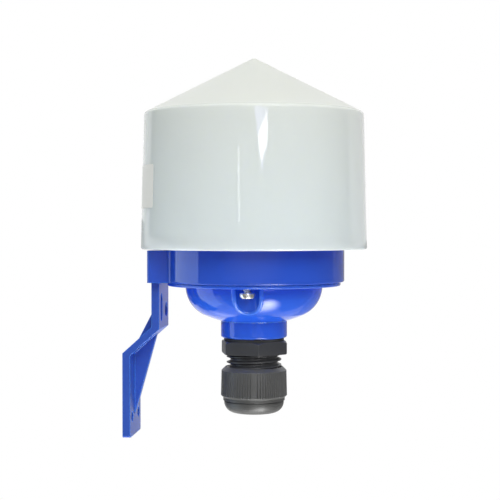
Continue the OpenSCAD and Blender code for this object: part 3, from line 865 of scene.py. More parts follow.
class Bench:
    """Short calls round the operators that model a piece.

    Attributes:
        FACING: Least share of a normal that counts as facing along an axis.
        EDGE_STEPS: Faces over a small rounded edge.
    """

    FACING = 0.9
    EDGE_STEPS = 2

    @staticmethod
    def clear() -> None:
        """Deselects everything."""
        if bpy.context.mode != "OBJECT":
            bpy.ops.object.mode_set(mode="OBJECT")
        bpy.ops.object.select_all(action="DESELECT")

    @staticmethod
    def pick(piece: Piece) -> None:
        """Makes one piece the only selected and active one.

        Args:
            piece: The piece.
        """
        Bench.clear()
        piece.select_set(True)
        bpy.context.view_layer.objects.active = piece

    @staticmethod
    def named(name: str) -> Piece:
        """Names the piece that was just added.

        Args:
            name: The piece's name.

        Returns:
            The piece.
        """
        piece = bpy.context.active_object
        piece.name = name
        piece.data.name = name
        return piece

    @staticmethod
    def apply(piece: Piece) -> None:
        """Moves a piece's place, turn and scale into its mesh."""
        Bench.pick(piece)
        bpy.ops.object.transform_apply(location=True, rotation=True, scale=True)

    @staticmethod
    def cylinder(
        name: str, radius: float, span: Span, at: Vector, sides: int = 96, turn: float = 0.0
    ) -> Piece:
        """Adds a closed cylinder upright on an axis.

        Args:
            name: Its name.
            radius: Its radius.
            span: Heights of its lower and upper face.
            at: A point on its axis.
            sides: Number of sides.
            turn: Its turn about the axis.

        Returns:
            The cylinder.
        """
        Bench.clear()
        bpy.ops.mesh.primitive_cylinder_add(
            vertices=sides,
            radius=radius,
            depth=span[1] - span[0],
            location=(at.x, at.y, sum(span) / 2),
            rotation=(0.0, 0.0, turn),
        )
        made = Bench.named(name)
        Bench.apply(made)
        return made

    @staticmethod
    def edit(piece: Piece) -> None:
        """Opens a piece in edit mode with all of it selected.

        Args:
            piece: The piece.
        """
        Bench.pick(piece)
        bpy.ops.object.mode_set(mode="EDIT")
        bpy.ops.mesh.select_all(action="SELECT")

    @staticmethod
    def select(piece: Piece, kind: Element, test: Callable[..., bool]) -> None:
        """Selects parts of the mesh that is being edited.

        Args:
            piece: The piece, in edit mode.
            kind: The kind of element.
            test: Says whether an element is selected.
        """
        bpy.ops.mesh.select_mode(type=kind.value)
        bpy.ops.mesh.select_all(action="DESELECT")
        mesh = bmesh.from_edit_mesh(piece.data)
        for element in getattr(mesh, kind.name.lower()):
            if test(element):
                element.select_set(True)
        mesh.select_flush_mode()
        bmesh.update_edit_mesh(piece.data)

    @staticmethod
    def select_edges(piece: Piece, low: float, high: float) -> None:
        """Selects the edges between two heights of the mesh that is being edited."""
        Bench.select(
            piece, Element.EDGES, lambda edge: all(low < v.co.z < high for v in edge.verts)
        )

    @staticmethod
    def done() -> None:
        """Leaves edit mode."""
        bpy.ops.object.mode_set(mode="OBJECT")

    @staticmethod
    def modify(piece: Piece, kind: str, **settings: object) -> None:
        """Adds a modifier and applies it.

        Args:
            piece: The piece.
            kind: The modifier's type.
            **settings: Its attributes.
        """
        Bench.pick(piece)
        modifier = piece.modifiers.new(kind.lower(), kind)
        for name, value in settings.items():
            setattr(modifier, name, value)
        bpy.ops.object.modifier_apply(modifier=modifier.name)

    @staticmethod
    def combine(piece: Piece, other: Piece, way: Fuse) -> None:
        """Joins, cuts or intersects a piece with another, which is used up."""
        Bench.modify(piece, "BOOLEAN", object=other, operation=way.value, solver="EXACT")
        bpy.data.objects.remove(other, do_unlink=True)

    @staticmethod
    def settle(piece: Piece, smooth_deg: float = 32.0) -> Piece:
        """Moves a piece's place into its mesh and shades it.

        Args:
            piece: The piece.
            smooth_deg: Edges sharper than this stay sharp.

        Returns:
            The piece.
        """
        Bench.apply(piece)
        bpy.ops.object.shade_smooth_by_angle(angle=math.radians(smooth_deg))
        return piece

    @staticmethod
    def half_turn_copy(piece: Piece, name: str, axis: Vector) -> Piece:
        """Copies a settled piece to the other side of an upright axis.

        Args:
            piece: The piece.
            name: The copy's name.
            axis: A point on the axis.

        Returns:
            The copy, with its own mesh.
        """
        made = piece.copy()
        made.data = piece.data.copy()
        made.name = name
        made.data.name = name
        bpy.context.scene.collection.objects.link(made)
        there = Matrix.Translation((axis.x, axis.y, 0.0))
        back = Matrix.Translation((-axis.x, -axis.y, 0.0))
        made.data.transform(there @ Matrix.Rotation(math.pi, 4, "Z") @ back)
        return made


@dataclass(frozen=True)
class Thread:
    """A thread that is wound into a closed rod.

    Attributes:
        crest: Radius of its crests.
        root: Radius of its roots.
        pitch: Rise in one turn.
        steps: Faces round one turn.
        flanks: Shares of the pitch at which both flanks start and end.
        lead: Turns that start below the rod, to be cut off.
        spare: Turns that are wound beyond the rod's length.
        weld: Distance at which points are merged, as a share of the pitch.
    """

    crest: float
    root: float
    pitch: float
    steps: int = 64
    flanks: tuple[float, float, float, float] = (0.14, 0.42, 0.60, 0.88)
    lead: float = 1.5
    spare: int = 4
    weld: float = 0.002

    def rod(self, name: str, at: Vector, span: Span, phase: float = 0.0) -> Piece:
        """Winds the rod and cuts both its ends flat.

        Args:
            name: Its name.
            at: A point on its axis.
            span: Heights of its lower and upper end.
            phase: Share of a pitch that the thread starts higher.

        Returns:
            The rod.
        """
        low, high = span
        near = self.pitch * self.weld
        rod = self._profile(name, at, low + (phase - self.lead) * self.pitch)
        Bench.modify(
            rod,
            "SCREW",
            axis="Z",
            angle=math.tau,
            screw_offset=self.pitch,
            iterations=math.ceil((high - low) / self.pitch) + self.spare,
            steps=self.steps,
            render_steps=self.steps,
            use_merge_vertices=True,
            merge_threshold=near,
        )
        for height, side in ((low, -1.0), (high, 1.0)):
            Bench.edit(rod)
            bpy.ops.mesh.remove_doubles(threshold=near)
            bpy.ops.mesh.bisect(
                plane_co=(at.x, at.y, height),
                plane_no=(0.0, 0.0, side),
                use_fill=True,
                clear_outer=True,
            )
            Bench.done()
        Bench.edit(rod)
        bpy.ops.mesh.normals_make_consistent(inside=False)
        Bench.done()
        return rod

    def _profile(self, name: str, at: Vector, start: float) -> Piece:
        """Draws the open line of one pitch from a circle.

        Args:
            name: The rod's name.
            at: A point on its axis.
            start: Height at which the line starts.

        Returns:
            The line.
        """
        radii = (self.root, self.root, self.crest, self.crest, self.root, self.root)
        shares = (0.0, *self.flanks, 1.0)
        Bench.clear()
        bpy.ops.mesh.primitive_circle_add(
            vertices=len(radii), radius=self.root, location=(at.x, at.y, 0.0)
        )
        line = Bench.named(name)
        ends = {0, len(radii) - 1}
        Bench.edit(line)
        Bench.select(line, Element.EDGES, lambda edge: {v.index for v in edge.verts} == ends)
        bpy.ops.mesh.delete(type="EDGE_FACE")
        Bench.done()
        for vertex, radius, share in zip(line.data.vertices, radii, shares):
            vertex.co = (radius, 0.0, start + share * self.pitch)
        return line


def finish_nodes(finish: Finish, *names: str) -> None:
    """Gives a finish to CAD nodes.

    Args:
        finish: The finish.
        *names: The nodes' names.
    """
    for name in names:
        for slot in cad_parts[name].material_slots:
            slot.material = finish.material()
        LOG.info("node %s gets %s", name, finish.name)


def keep(piece: Piece, body: Body, finish: Finish, *nodes: str) -> None:
    """Dresses a finished piece, hangs it on its body and hides the CAD nodes that it replaces.

    Args:
        piece: The piece.
        body: The body that it rides on.
        finish: Its finish.
        *nodes: CAD nodes that it replaces.
    """
    finish.dress(piece)
    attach(piece, body.value)
    if nodes:
        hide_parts(*nodes)
    LOG.info("piece %s: %d faces", piece.name, len(piece.data.polygons))


# Sub-assemblies


@dataclass
class Cap:
    """The opal cap with its blank label and seal.

    Attributes:
        label_low: Height of the label's lower edge above the cap's bottom edge.
        label_high: Height of its upper edge above the cap's bottom edge.
        label_half_deg: Half the angle that it covers.
        label_gap: Its distance from the wall.
        label_t: Its thickness.
        label_corner: Rounding of its corners.
        corner_steps: Faces round a corner.
        steps: Faces along the label.
        slack_deg: Angle that its ends may be off by.
        draft: How much the wall leans in for each metre of height.
    """

    label_low: float = 14.5 * MM
    label_high: float = 29.6 * MM
    label_half_deg: float = 35.0
    label_gap: float = 0.02 * MM
    label_t: float = 0.12 * MM
    label_corner: float = 0.9 * MM
    corner_steps: int = 4
    steps: int = 28
    slack_deg: float = 0.01
    draft: float = 1.15 / 48.5

    def build(self) -> None:
        """Builds the label and dresses the cap."""
        keep(self._label(), Body.HOUSING, PAPER)
        finish_nodes(OPAL, "cap")
        finish_nodes(RUBBER, "cap_seal")

    def _label(self) -> Piece:
        """Makes the label from a strip of the cap's own drafted wall.

        Returns:
            The label.
        """
        low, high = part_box("cap")
        axis = (low + high) / 2
        foot_r = (high.y - low.y) / 2 + self.label_gap
        Bench.clear()
        bpy.ops.mesh.primitive_cone_add(
            vertices=round(self.steps * 360 / (2 * self.label_half_deg)),
            radius1=foot_r - self.draft * self.label_low,
            radius2=foot_r - self.draft * self.label_high,
            depth=self.label_high - self.label_low,
            end_fill_type="NOTHING",
            location=(axis.x, axis.y, low.z + (self.label_low + self.label_high) / 2),
            rotation=(0.0, 0.0, math.pi / 2),
        )
        label = Bench.named("blank_label")
        Bench.apply(label)
        limit = math.radians(self.label_half_deg + self.slack_deg)

        def turn(point: Vector) -> float:
            """Gives the angle of a point from the wall side."""
            return abs(math.atan2(point.y - axis.y, axis.x - point.x))

        Bench.edit(label)
        Bench.select(label, Element.VERTS, lambda vert: turn(vert.co) > limit)
        bpy.ops.mesh.delete(type="VERT")
        Bench.select(label, Element.VERTS, lambda vert: len(vert.link_edges) == 2)
        bpy.ops.mesh.bevel(
            offset=self.label_corner, segments=self.corner_steps, affect="VERTICES"
        )
        Bench.done()
        Bench.modify(label, "SOLIDIFY", thickness=self.label_t, offset=1.0)
        return Bench.settle(label)


@dataclass
class Housing:
    """The blue base, the lower cover and the gasket between them.

    Attributes:
        pocket_r: Radius of the screw pockets.
        pocket_at: Distance of the pockets from the switch's axis.
        bowl_r: Radius of the bowl at the lip.
        side_r: Radius of the bowl's side.
        lip_t: Thickness of the lip.
        rim_r: Radius of the rounded rim round each pocket.
        rim_sunk: How far the rim's middle is sunk into both faces.
        rim_steps: Steps along the rim.
        rim_round: Steps in a quarter of its section.
        rim_smooth_deg: Edges of the rim sharper than this stay sharp.
    """

    pocket_r: float = 4.6 * MM
    pocket_at: float = 24.8 * MM
    bowl_r: float = 24.6 * MM
    side_r: float = 11.6 * MM
    lip_t: float = 1.0 * MM
    rim_r: float = 0.85 * MM
    rim_sunk: float = 0.42 * MM
    rim_steps: int = 48
    rim_round: int = 6
    rim_smooth_deg: float = 60.0

    def build(self) -> None:
        """Adds the pocket rims and dresses the mouldings."""
        low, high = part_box("lower_cover")
        axis = (low + high) / 2
        front = self._rim("pocket_rim_front", Vector((axis.x, axis.y, high.z - self.lip_t)))
        back = Bench.half_turn_copy(front, "pocket_rim_back", axis)
        # The rims get a lighter blue, a painted highlight.
        keep(front, Body.HOUSING, RIM_HIGHLIGHT)
        keep(back, Body.HOUSING, RIM_HIGHLIGHT)
        finish_nodes(BLUE, "base")
        # The cover's lighter blue is painted light.
        finish_nodes(LIT_COVER, "lower_cover")
        # The gasket's bright blue is painted light.
        finish_nodes(LIT_GASKET, "cover_gasket")

    def _rim_line(self, lip: Vector) -> list[Vector]:
        """Works out the line where the front pocket opens in the bowl.

        Args:
            lip: The point on the switch's axis under the lip.

        Returns:
            The line's points, sunk into both faces.
        """
        middle_r = self.bowl_r - self.side_r
        limit = math.acos(
            (self.pocket_at**2 + self.pocket_r**2 - self.bowl_r**2)
            / (2 * self.pocket_at * self.pocket_r)
        )
        points = []
        for step in range(self.rim_steps + 1):
            turn = limit * (2 * step / self.rim_steps - 1)
            wall = Vector((math.sin(turn), math.cos(turn), 0.0))
            spot = Vector((0.0, -self.pocket_at, 0.0)) + wall * self.pocket_r
            across = min(spot.length - middle_r, self.side_r)
            drop = Vector((0.0, 0.0, math.sqrt(self.side_r**2 - across**2)))
            outward = spot.normalized() * across - drop
            sunk = (outward.normalized() - wall) * self.rim_sunk
            points.append(lip + spot - sunk - drop)
        return points

    def _rim(self, name: str, lip: Vector) -> Piece:
        """Rounds the edge where the front pocket opens in the bowl.

        Args:
            name: The rim's name.
            lip: The point on the switch's axis under the lip.

        Returns:
            The rim.
        """
        points = self._rim_line(lip)
        Bench.clear()
        bpy.ops.curve.primitive_nurbs_path_add()
        curve = Bench.named(name).data
        curve.splines.clear()
        line = curve.splines.new("POLY")
        line.points.add(len(points) - 1)
        for place, point in zip(line.points, points):
            place.co = (*point, 1.0)
        curve.bevel_depth = self.rim_r
        curve.bevel_resolution = self.rim_round
        curve.use_fill_caps = True
        bpy.ops.object.convert(target="MESH")
        return Bench.settle(Bench.named(name), self.rim_smooth_deg)


@dataclass
class CoverScrews:
    """The two pan-head screws that hold the lower cover.

    Attributes:
        head_r: Radius of the head.
        head_h: Height of the head.
        head_sides: Faces round the head.
        crown: Rounding of the head's outer edge.
        crown_steps: Faces over that rounding.
        crown_shape: Fullness of that rounding.
        seat_edge: Rounding of the edge that seats on the cover.
        near: Distance within which an edge belongs to one of the head's ends.
        thread: The shank's thread.
        shank_start: Start of the shank, as a share of the head's height.
        recess: Length of the cross recess.
        blade: Width of the recess's arms.
        blade_depth: Height of the cutter, as a share of the head's height.
        blade_taper: Length and width of the recess's floor, as a share.
        recess_turn: Turn of the recess.
        smooth_deg: Edges sharper than this stay sharp.
    """

    head_r: float = 2.65 * MM
    head_h: float = 2.0 * MM
    head_sides: int = 48
    crown: float = 1.1 * MM
    crown_steps: int = 6
    crown_shape: float = 0.55
    seat_edge: float = 0.15 * MM
    near: float = 0.05 * MM
    thread: Thread = Thread(1.45 * MM, 1.05 * MM, 1.1 * MM, 32)
    shank_start: float = 0.6
    recess: float = 3.2 * MM
    blade: float = 0.75 * MM
    blade_depth: float = 1.2
    blade_taper: Span = (0.45, 0.6)
    recess_turn: float = 0.35
    smooth_deg: float = 35.0

    def build(self) -> None:
        """Models one screw and copies it to the other place."""
        low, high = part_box("cover_screws")
        axis = (low + high) / 2
        foot = Vector((axis.x, low.y + self.head_r, low.z))
        front = self._screw("cover_screw_front", foot, high.z)
        back = Bench.half_turn_copy(front, "cover_screw_back", axis)
        keep(front, Body.HOUSING, ZINC, "cover_screws")
        keep(back, Body.HOUSING, ZINC, "cover_screws")

    def _screw(self, name: str, foot: Vector, top: float) -> Piece:
        """Models a screw that points up.

        Args:
            name: Its name.
            foot: The middle of the head's lower face.
            top: Height of its point.

        Returns:
            The screw.
        """
        seat = foot.z + self.head_h
        head = Bench.cylinder(name, self.head_r, (foot.z, seat), foot, self.head_sides)
        Bench.edit(head)
        Bench.select_edges(head, foot.z - self.near, foot.z + self.near)
        bpy.ops.mesh.bevel(
            offset=self.crown, segments=self.crown_steps, profile=self.crown_shape
        )
        Bench.select_edges(head, seat - self.near, seat + self.near)
        bpy.ops.mesh.bevel(offset=self.seat_edge, segments=Bench.EDGE_STEPS)
        Bench.done()
        for turn in (self.recess_turn, self.recess_turn + math.pi / 2):
            Bench.combine(head, self._blade(foot, turn), Fuse.CUT)
        start = foot.z + self.shank_start * self.head_h
        Bench.combine(head, self.thread.rod("shank", foot, (start, top)), Fuse.JOIN)
        return Bench.settle(head, self.smooth_deg)

    def _blade(self, foot: Vector, turn: float) -> Piece:
        """Makes one tapered arm of the cross recess.

        Args:
            foot: The middle of the head's lower face.
            turn: Its turn about the screw's axis.

        Returns:
            The cutter.
        """
        Bench.clear()
        bpy.ops.mesh.primitive_cube_add(
            size=1.0,
            location=foot,
            rotation=(0.0, 0.0, turn),
            scale=(self.recess, self.blade, self.blade_depth * self.head_h),
        )
        blade = Bench.named("blade")
        Bench.edit(blade)
        Bench.select(blade, Element.FACES, lambda face: face.normal.z > Bench.FACING)
        bpy.ops.transform.resize(value=(*self.blade_taper, 1.0))
        Bench.done()
        return blade


@dataclass
class CableGland:
    """The black cable gland: threaded body, washer, insert and dome nut.

    Attributes:
        hex_af: Hexagon across its flats.
        hex_turn_deg: Turn of the hexagon.
        hex_edge: Rounding of its edges.
        hex_edge_deg: Edges sharper than this are rounded.
        top_cut: Height and depth of the turned corners on its upper side.
        foot_cut: Height and depth of the turned corners on its lower side.
        turned_past: How far the turned shape passes the corners.
        nut_thread: Thread under the hexagon, for the dome nut.
        nut_phase: Share of a pitch that the nut thread starts higher.
        nut_gap: Length of thread that shows between nut and hexagon.
        entry_thread: Thread over the hexagon.
        overlap: How far the threads reach into the hexagon.
        bore: Radius of the cable way.
        seat: Radius of the insert's seat.
        past: How far a cutter passes the face that it cuts.
    """

    hex_af: float = 22.0 * MM
    hex_turn_deg: float = 43.0
    hex_edge: float = 0.15 * MM
    hex_edge_deg: float = 25.0
    top_cut: Span = (0.7 * MM, 1.2 * MM)
    foot_cut: Span = (0.35 * MM, 0.5 * MM)
    turned_past: float = 0.05 * MM
    nut_thread: Thread = Thread(9.85 * MM, 8.5 * MM, 2.0 * MM)
    nut_phase: float = -0.5
    nut_gap: float = 4.7 * MM
    entry_thread: Thread = Thread(9.3 * MM, 8.4 * MM, 1.5 * MM)
    overlap: float = 0.6 * MM
    bore: float = 6.2 * MM
    seat: float = 7.55 * MM
    past: float = 1.0 * MM

    def build(self) -> None:
        """Models the body and dresses the rest."""
        keep(self._body(), Body.HOUSING, GLAND, "gland_body")
        finish_nodes(NYLON, "gland_nut")
        finish_nodes(RUBBER, "gland_washer", "gland_seal")

    def _body(self) -> Piece:
        """Models the threaded body round its hexagon.

        Returns:
            The body.
        """
        low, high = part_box("gland_body")
        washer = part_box("gland_washer")[0].z
        nut_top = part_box("gland_nut")[1].z
        seal_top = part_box("gland_seal")[1].z
        axis = (low + high) / 2
        hex_low = nut_top + self.nut_gap
        foot = low.z - self.past
        body = self._hexagon(axis, hex_low, washer)
        lower = self.nut_thread.rod(
            "nut_thread", axis, (low.z, hex_low + self.overlap), self.nut_phase
        )
        upper = self.entry_thread.rod("entry_thread", axis, (washer - self.overlap, high.z))
        way = Bench.cylinder("way", self.bore, (foot, high.z + self.past), axis)
        seat = Bench.cylinder("seat", self.seat, (foot, seal_top), axis)
        for other, fuse in (
            (lower, Fuse.JOIN),
            (upper, Fuse.JOIN),
            (way, Fuse.CUT),
            (seat, Fuse.CUT),
        ):
            Bench.combine(body, other, fuse)
        return Bench.settle(body)

    def _hexagon(self, axis: Vector, low: float, high: float) -> Piece:
        """Makes the hexagon with its corners turned off.

        Args:
            axis: A point on the gland's axis.
            low: Height of its lower face.
            high: Height of its upper face.

        Returns:
            The hexagon.
        """
        corner = self.hex_af / math.sqrt(3.0)
        body = Bench.cylinder(
            "gland_body_threaded", corner, (low, high), axis, sides=6,
            turn=math.radians(self.hex_turn_deg - 90.0),
        )
        outer = corner + self.turned_past
        straight = (low + self.foot_cut[0], high - self.top_cut[0])
        turned = Bench.cylinder("turned", outer, straight, axis)
        Bench.edit(turned)
        for end, height, (rise, inset) in (
            (1.0, high, self.top_cut),
            (-1.0, low, self.foot_cut),
        ):
            share = (outer - inset) / outer
            Bench.select(
                turned,
                Element.FACES,
                lambda face, end=end: face.normal.z * end > Bench.FACING,
            )
            bpy.ops.mesh.extrude_region_move(
                TRANSFORM_OT_translate={"value": (0.0, 0.0, end * rise)}
            )
            bpy.ops.transform.resize(
                value=(share, share, 1.0), center_override=(axis.x, axis.y, height)
            )
        Bench.done()
        Bench.combine(body, turned, Fuse.COMMON)
        Bench.modify(
            body,
            "BEVEL",
            width=self.hex_edge,
            segments=Bench.EDGE_STEPS,
            limit_method="ANGLE",
            angle_limit=math.radians(self.hex_edge_deg),
            use_clamp_overlap=True,
        )
        return body


@dataclass
class Electronics:
    """The parts on and under the circuit board.

    Attributes:
        dressing: Each finish and the nodes that get it.
    """

    dressing: tuple[tuple[Finish, tuple[str, ...]], ...] = (
        (BOARD, ("circuit_board",)),
        (ZINC, ("board_screws", "terminal_screws")),
        (WHITE, ("terminal_block", "sensor_holder")),
        (BRASS, ("wire_clamps",)),
        (RELAY, ("relay",)),
        (FILM, ("film_capacitor",)),
        (CAN, ("smoothing_capacitor",)),
        (DISC, ("varistor",)),
        (DIODE, ("rectifier_diodes",)),
        (RESISTOR, ("resistors",)),
        (DRIVER, ("transistor",)),
        (SENSOR, ("light_sensor",)),
    )

    def build(self) -> None:
        """Dresses the inner parts."""
        for finish, names in self.dressing:
            finish_nodes(finish, *names)


# Studio


@dataclass(frozen=True)
class Softbox:
    """A square soft lamp that looks at the part.

    Attributes:
        name: Its name.
        left_deg: Its direction, in degrees left of the camera as the part is seen.
        up_deg: Its height in degrees above the horizon.
        distance: Its distance from the part.
        size: Its width and height.
        level: Its radiance.
        tint: Its colour.
        mirrored: Whether glossy surfaces show it.
    """

    name: str
    left_deg: float
    up_deg: float
    distance: float
    size: float
    level: float
    tint: Colour = PLAIN
    mirrored: bool = False


@dataclass(frozen=True)
class MirrorCard:
    """A flat card that only glossy surfaces show.

    Attributes:
        name: Its name.
        corners: Directions of its corners, in degrees left of the camera and up.
        distance: Its distance from the part.
        level: Its radiance.
        tint: Its colour.
    """

    name: str
    corners: tuple[Span, ...]
    distance: float
    level: float
    tint: Colour = PLAIN


def upright(sides: Span, heights: Span) -> tuple[Span, ...]:
    """Gives the corners of an upright card.

    Args:
        sides: Directions of both its sides, in degrees left of the camera.
        heights: Its lower and upper edge, in degrees up.

    Returns:
        Its corners in order.
    """
    first, second = sides
    low, high = heights
    return ((first, low), (first, high), (second, high), (second, low))


@dataclass(frozen=True)
class GlowDisc:
    """A soft patch of light that only glossy surfaces show.

    Attributes:
        name: Its name.
        place: Its middle, from the switch's axis and the floor.
        size: Half its width and half its length.
        turn_deg: Its turn about the upright axis.
        level: Its radiance in the middle.
        tilt_deg: How far it is tipped up from lying flat.
        sides: Number of its sides.
    """

    name: str
    place: tuple[float, float, float]
    size: Span
    turn_deg: float
    level: float
    tilt_deg: float = 0.0
    sides: int = 64


@dataclass(frozen=True)
class DarkCove:
    """A grey sheet round the front that keeps glossy surfaces deep.

    Attributes:
        inner: Radius of its inner edge on the floor.
        outer: Radius of its wall.
        lift: Height of its foot above the floor.
        flat: Height over its foot up to which a face is part of the foot.
        middle_deg: Height of the wall's lower part.
        top_deg: Height of the whole wall.
        foot_span: Degrees left and right that its foot covers.
        low_span: Degrees left and right that its lower part covers.
        high_span: Degrees left and right that its upper part covers.
        level: Its radiance.
        sides: Number of its sides.
    """

    inner: float = 0.15
    outer: float = 0.70
    lift: float = 3.0 * MM
    flat: float = 1.0 * MM
    middle_deg: float = 1.0
    top_deg: float = 16.0
    foot_span: Span = (62.0, 118.0)
    low_span: Span = (75.0, 118.0)
    high_span: Span = (130.0, 110.0)
    level: float = 0.28
    sides: int = 180

    def covers(self, turn_deg: float, height: float, wall_h: float) -> bool:
        """Says whether a place is part of the cove.

        Args:
            turn_deg: Its direction, in degrees right of the camera.
            height: Its height over the cove's foot.
            wall_h: Height of the wall's lower part.

        Returns:
            True if the cove reaches that far round.
        """
        if height < self.flat:
            left, right = self.foot_span
        elif height < wall_h:
            left, right = self.low_span
        else:
            left, right = self.high_span
        return -left < (turn_deg + 180.0) % 360.0 - 180.0 < right


@dataclass
class Studio:
    """Camera, floor, background and lamps.

    Attributes:
        azimuth_deg: Direction of the camera from the part, right of straight ahead.
        reach: Distance of the camera from the switch's axis.
        rise: Height of the camera above the cap's bottom edge.
        aim_deg: How far the camera looks left of the axis.
        pitch_deg: How far it looks down.
        lens: Focal length in millimetres.
        sensor: Width of the camera's sensor in millimetres.
        clip: Nearest and farthest distance that the camera sees.
        fill_level: Radiance of the even light from all round.
        fill_tint: Colour of that light.
        floor_drop: Distance of the floor below the part.
        floor_size: Width of the floor.
        floor_tone: Colour of the floor's paper.
        floor_fade: Distances between which the floor turns plain white.
        floor_glow: Least light that the floor gives by itself.
        lamps: The soft lamps.
        cards: The cards that show in gloss.
        glows: The patches of light that show in gloss.
        cove: The dark cove.
    """

    azimuth_deg: float = 5.3
    reach: float = 0.460
    rise: float = 8.57 * MM
    aim_deg: float = 0.18
    pitch_deg: float = 1.12
    lens: float = 92.1
    sensor: float = 36.0
    clip: Span = (0.01, 20.0)
    fill_level: float = 0.24
    fill_tint: Colour = (0.97, 1.0, 1.0)
    floor_drop: float = 0.25
    floor_size: float = 8.0
    floor_tone: Colour = (0.55, 0.55, 0.55)
    floor_fade: Span = (0.25, 0.75)
    floor_glow: float = 0.45
    lamps: tuple[Softbox, ...] = (
        Softbox("softbox_front", -12.0, 32.0, 1.2, 0.8, 5.3, (0.99, 1.0, 1.0), mirrored=True),
        Softbox("softbox_left", 105.0, 5.0, 0.9, 0.8, 1.1, (0.82, 0.94, 1.0)),
        Softbox("softbox_back", 150.0, 18.0, 1.1, 0.8, 1.6),
        Softbox("softbox_right", -110.0, 5.0, 0.9, 0.8, 0.15),
        Softbox("softbox_top", 0.0, 84.0, 0.9, 0.9, 0.45, (1.0, 0.82, 0.50)),
        Softbox("softbox_low", 0.0, -90.0, 0.30, 0.20, 7.2),
    )
    cards: tuple[MirrorCard, ...] = (
        MirrorCard("left_panel", upright((71.0, 109.0), (-50.0, -0.3)), 0.40, 2.3, PANEL_TINT),
        MirrorCard("ring_panel", upright((109.0, 120.0), (-4.5, -0.3)), 0.375, 2.3, PANEL_TINT),
        MirrorCard("left_shade", upright((109.0, 142.0), (-42.0, 0.0)), 0.40, 0.2),
        MirrorCard("back_shade", upright((142.0, 172.0), (-15.0, 2.0)), 0.40, 0.45),
        MirrorCard("right_shade", upright((-165.0, -118.0), (-38.0, 0.0)), 0.40, 0.4),
        MirrorCard(
            "window_core",
            ((-12.4, 11.3), (-13.3, 10.2), (-13.3, 9.3), (-12.7, 9.1),
             (-7.8, 7.9), (-7.0, 7.8), (-4.8, 8.9), (-3.6, 9.6)),
            0.64, 10.0,
        ),
        MirrorCard(
            "window_pane",
            ((-0.5, 11.6), (-13.2, 11.6), (-13.5, 9.1), (-10.1, 8.0),
             (-7.9, 7.3), (-6.9, 7.3), (-3.4, 9.4)),
            0.65, 3.6, (0.80, 0.78, 1.30),
        ),
        MirrorCard(
            "narrow_glint", ((15.7, 8.9), (14.3, 8.9), (13.5, 3.6), (14.8, 3.6)), 0.65, 5.0
        ),
        MirrorCard("low_strip", upright((6.0, -32.0), (-12.0, -8.0)), 0.62, 5.0),
    )
    glows: tuple[GlowDisc, ...] = (
        GlowDisc("front_glow", (0.13, -0.16, 0.006), (0.13, 0.24), 35.0, 17.0),
        GlowDisc("back_glow", (-0.14, 0.20, 0.006), (0.13, 0.13), 0.0, 2.0),
        GlowDisc("ring_glow", (0.042, -0.448, 0.302), (0.45, 0.047), 5.3, 0.72, tilt_deg=90.0),
    )
    cove: DarkCove = DarkCove()

    @property
    def centre(self) -> Vector:
        """The point on the switch's axis at the cap's bottom edge."""
        low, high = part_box("cap")
        return Vector(((low.x + high.x) / 2, 0.0, low.z))

    @property
    def floor_z(self) -> float:
        """Height of the floor."""
        return CAD_BOX[0].z - self.floor_drop

    def build(self) -> None:
        """Sets up the whole studio."""
        self._camera()
        self._world()
        self._floor()
        for lamp in self.lamps:
            self._lamp(lamp)
        for card in self.cards:
            self._card(card)
        for disc in self.glows:
            self._glow_disc(disc)
        self._dark_cove()
        bpy.context.scene.view_settings.view_transform = "Standard"

    def _towards(self, left_deg: float, up_deg: float) -> Vector:
        """Gives a direction from the part.

        Args:
            left_deg: Degrees left of the camera as the part is seen.
            up_deg: Degrees above the horizon.

        Returns:
            The unit vector.
        """
        turn = math.radians(self.azimuth_deg - left_deg)
        rise = math.radians(up_deg)
        flat = math.cos(rise)
        return Vector((math.sin(turn) * flat, -math.cos(turn) * flat, math.sin(rise)))

    def _camera(self) -> None:
        """Adds the camera where the photograph was taken from."""
        data = bpy.data.cameras.new("camera")
        data.lens = self.lens
        data.sensor_width = self.sensor
        data.clip_start, data.clip_end = self.clip
        camera = bpy.data.objects.new("camera", data)
        bpy.context.scene.collection.objects.link(camera)
        away = self._towards(0.0, 0.0) * self.reach
        camera.location = self.centre + away + Vector((0.0, 0.0, self.rise))
        look = -self._towards(-self.aim_deg, self.pitch_deg)
        camera.rotation_euler = look.to_track_quat("-Z", "Y").to_euler()
        bpy.context.scene.camera = camera

    def _world(self) -> None:
        """Gives even light, and white where the background is seen or mirrored."""
        world = bpy.data.worlds.new("studio")
        bpy.context.scene.world = world
        graph = Graph.emptied(world)
        fill = graph.add("Background", {"Color": self.fill_tint, "Strength": self.fill_level})
        white = graph.add("Background", {"Color": PLAIN, "Strength": 1.0})
        mixed = graph.add(
            "MixShader", {0: graph.seen(), 1: fill.outputs[0], 2: white.outputs[0]}
        )
        graph.add("OutputWorld", {"Surface": mixed.outputs[0]})

    def _floor(self) -> None:
        """Lays the pale floor, which keeps the part's shadow."""
        Bench.clear()
        bpy.ops.mesh.primitive_plane_add(
            size=self.floor_size, location=(self.centre.x, self.centre.y, self.floor_z)
        )
        floor = Bench.named("studio_floor")
        material = bpy.data.materials.new("floor_paper")
        graph = Graph.emptied(material)
        seen = graph.seen()
        far = graph.remap(graph.reach(), self.floor_fade)
        glow = graph.remap(far, (0.0, 1.0), (self.floor_glow, 1.0), smooth=False)
        light = graph.add(
            "Emission", {"Color": PLAIN, "Strength": graph.math("MULTIPLY", glow, seen)}
        )
        paper = graph.add("BsdfDiffuse", {"Color": self.floor_tone})
        near = graph.add("AddShader", {0: paper.outputs[0], 1: light.outputs[0]})
        top = graph.add(
            "MixShader",
            {0: graph.math("MULTIPLY", far, seen), 1: near.outputs[0], 2: light.outputs[0]},
        )
        under = graph.add("NewGeometry").outputs["Backfacing"]
        clear = graph.add("BsdfTransparent")
        sheet = graph.add("MixShader", {0: under, 1: top.outputs[0], 2: clear.outputs[0]})
        graph.add("OutputMaterial", {"Surface": sheet.outputs[0]})
        floor.data.materials.append(material)

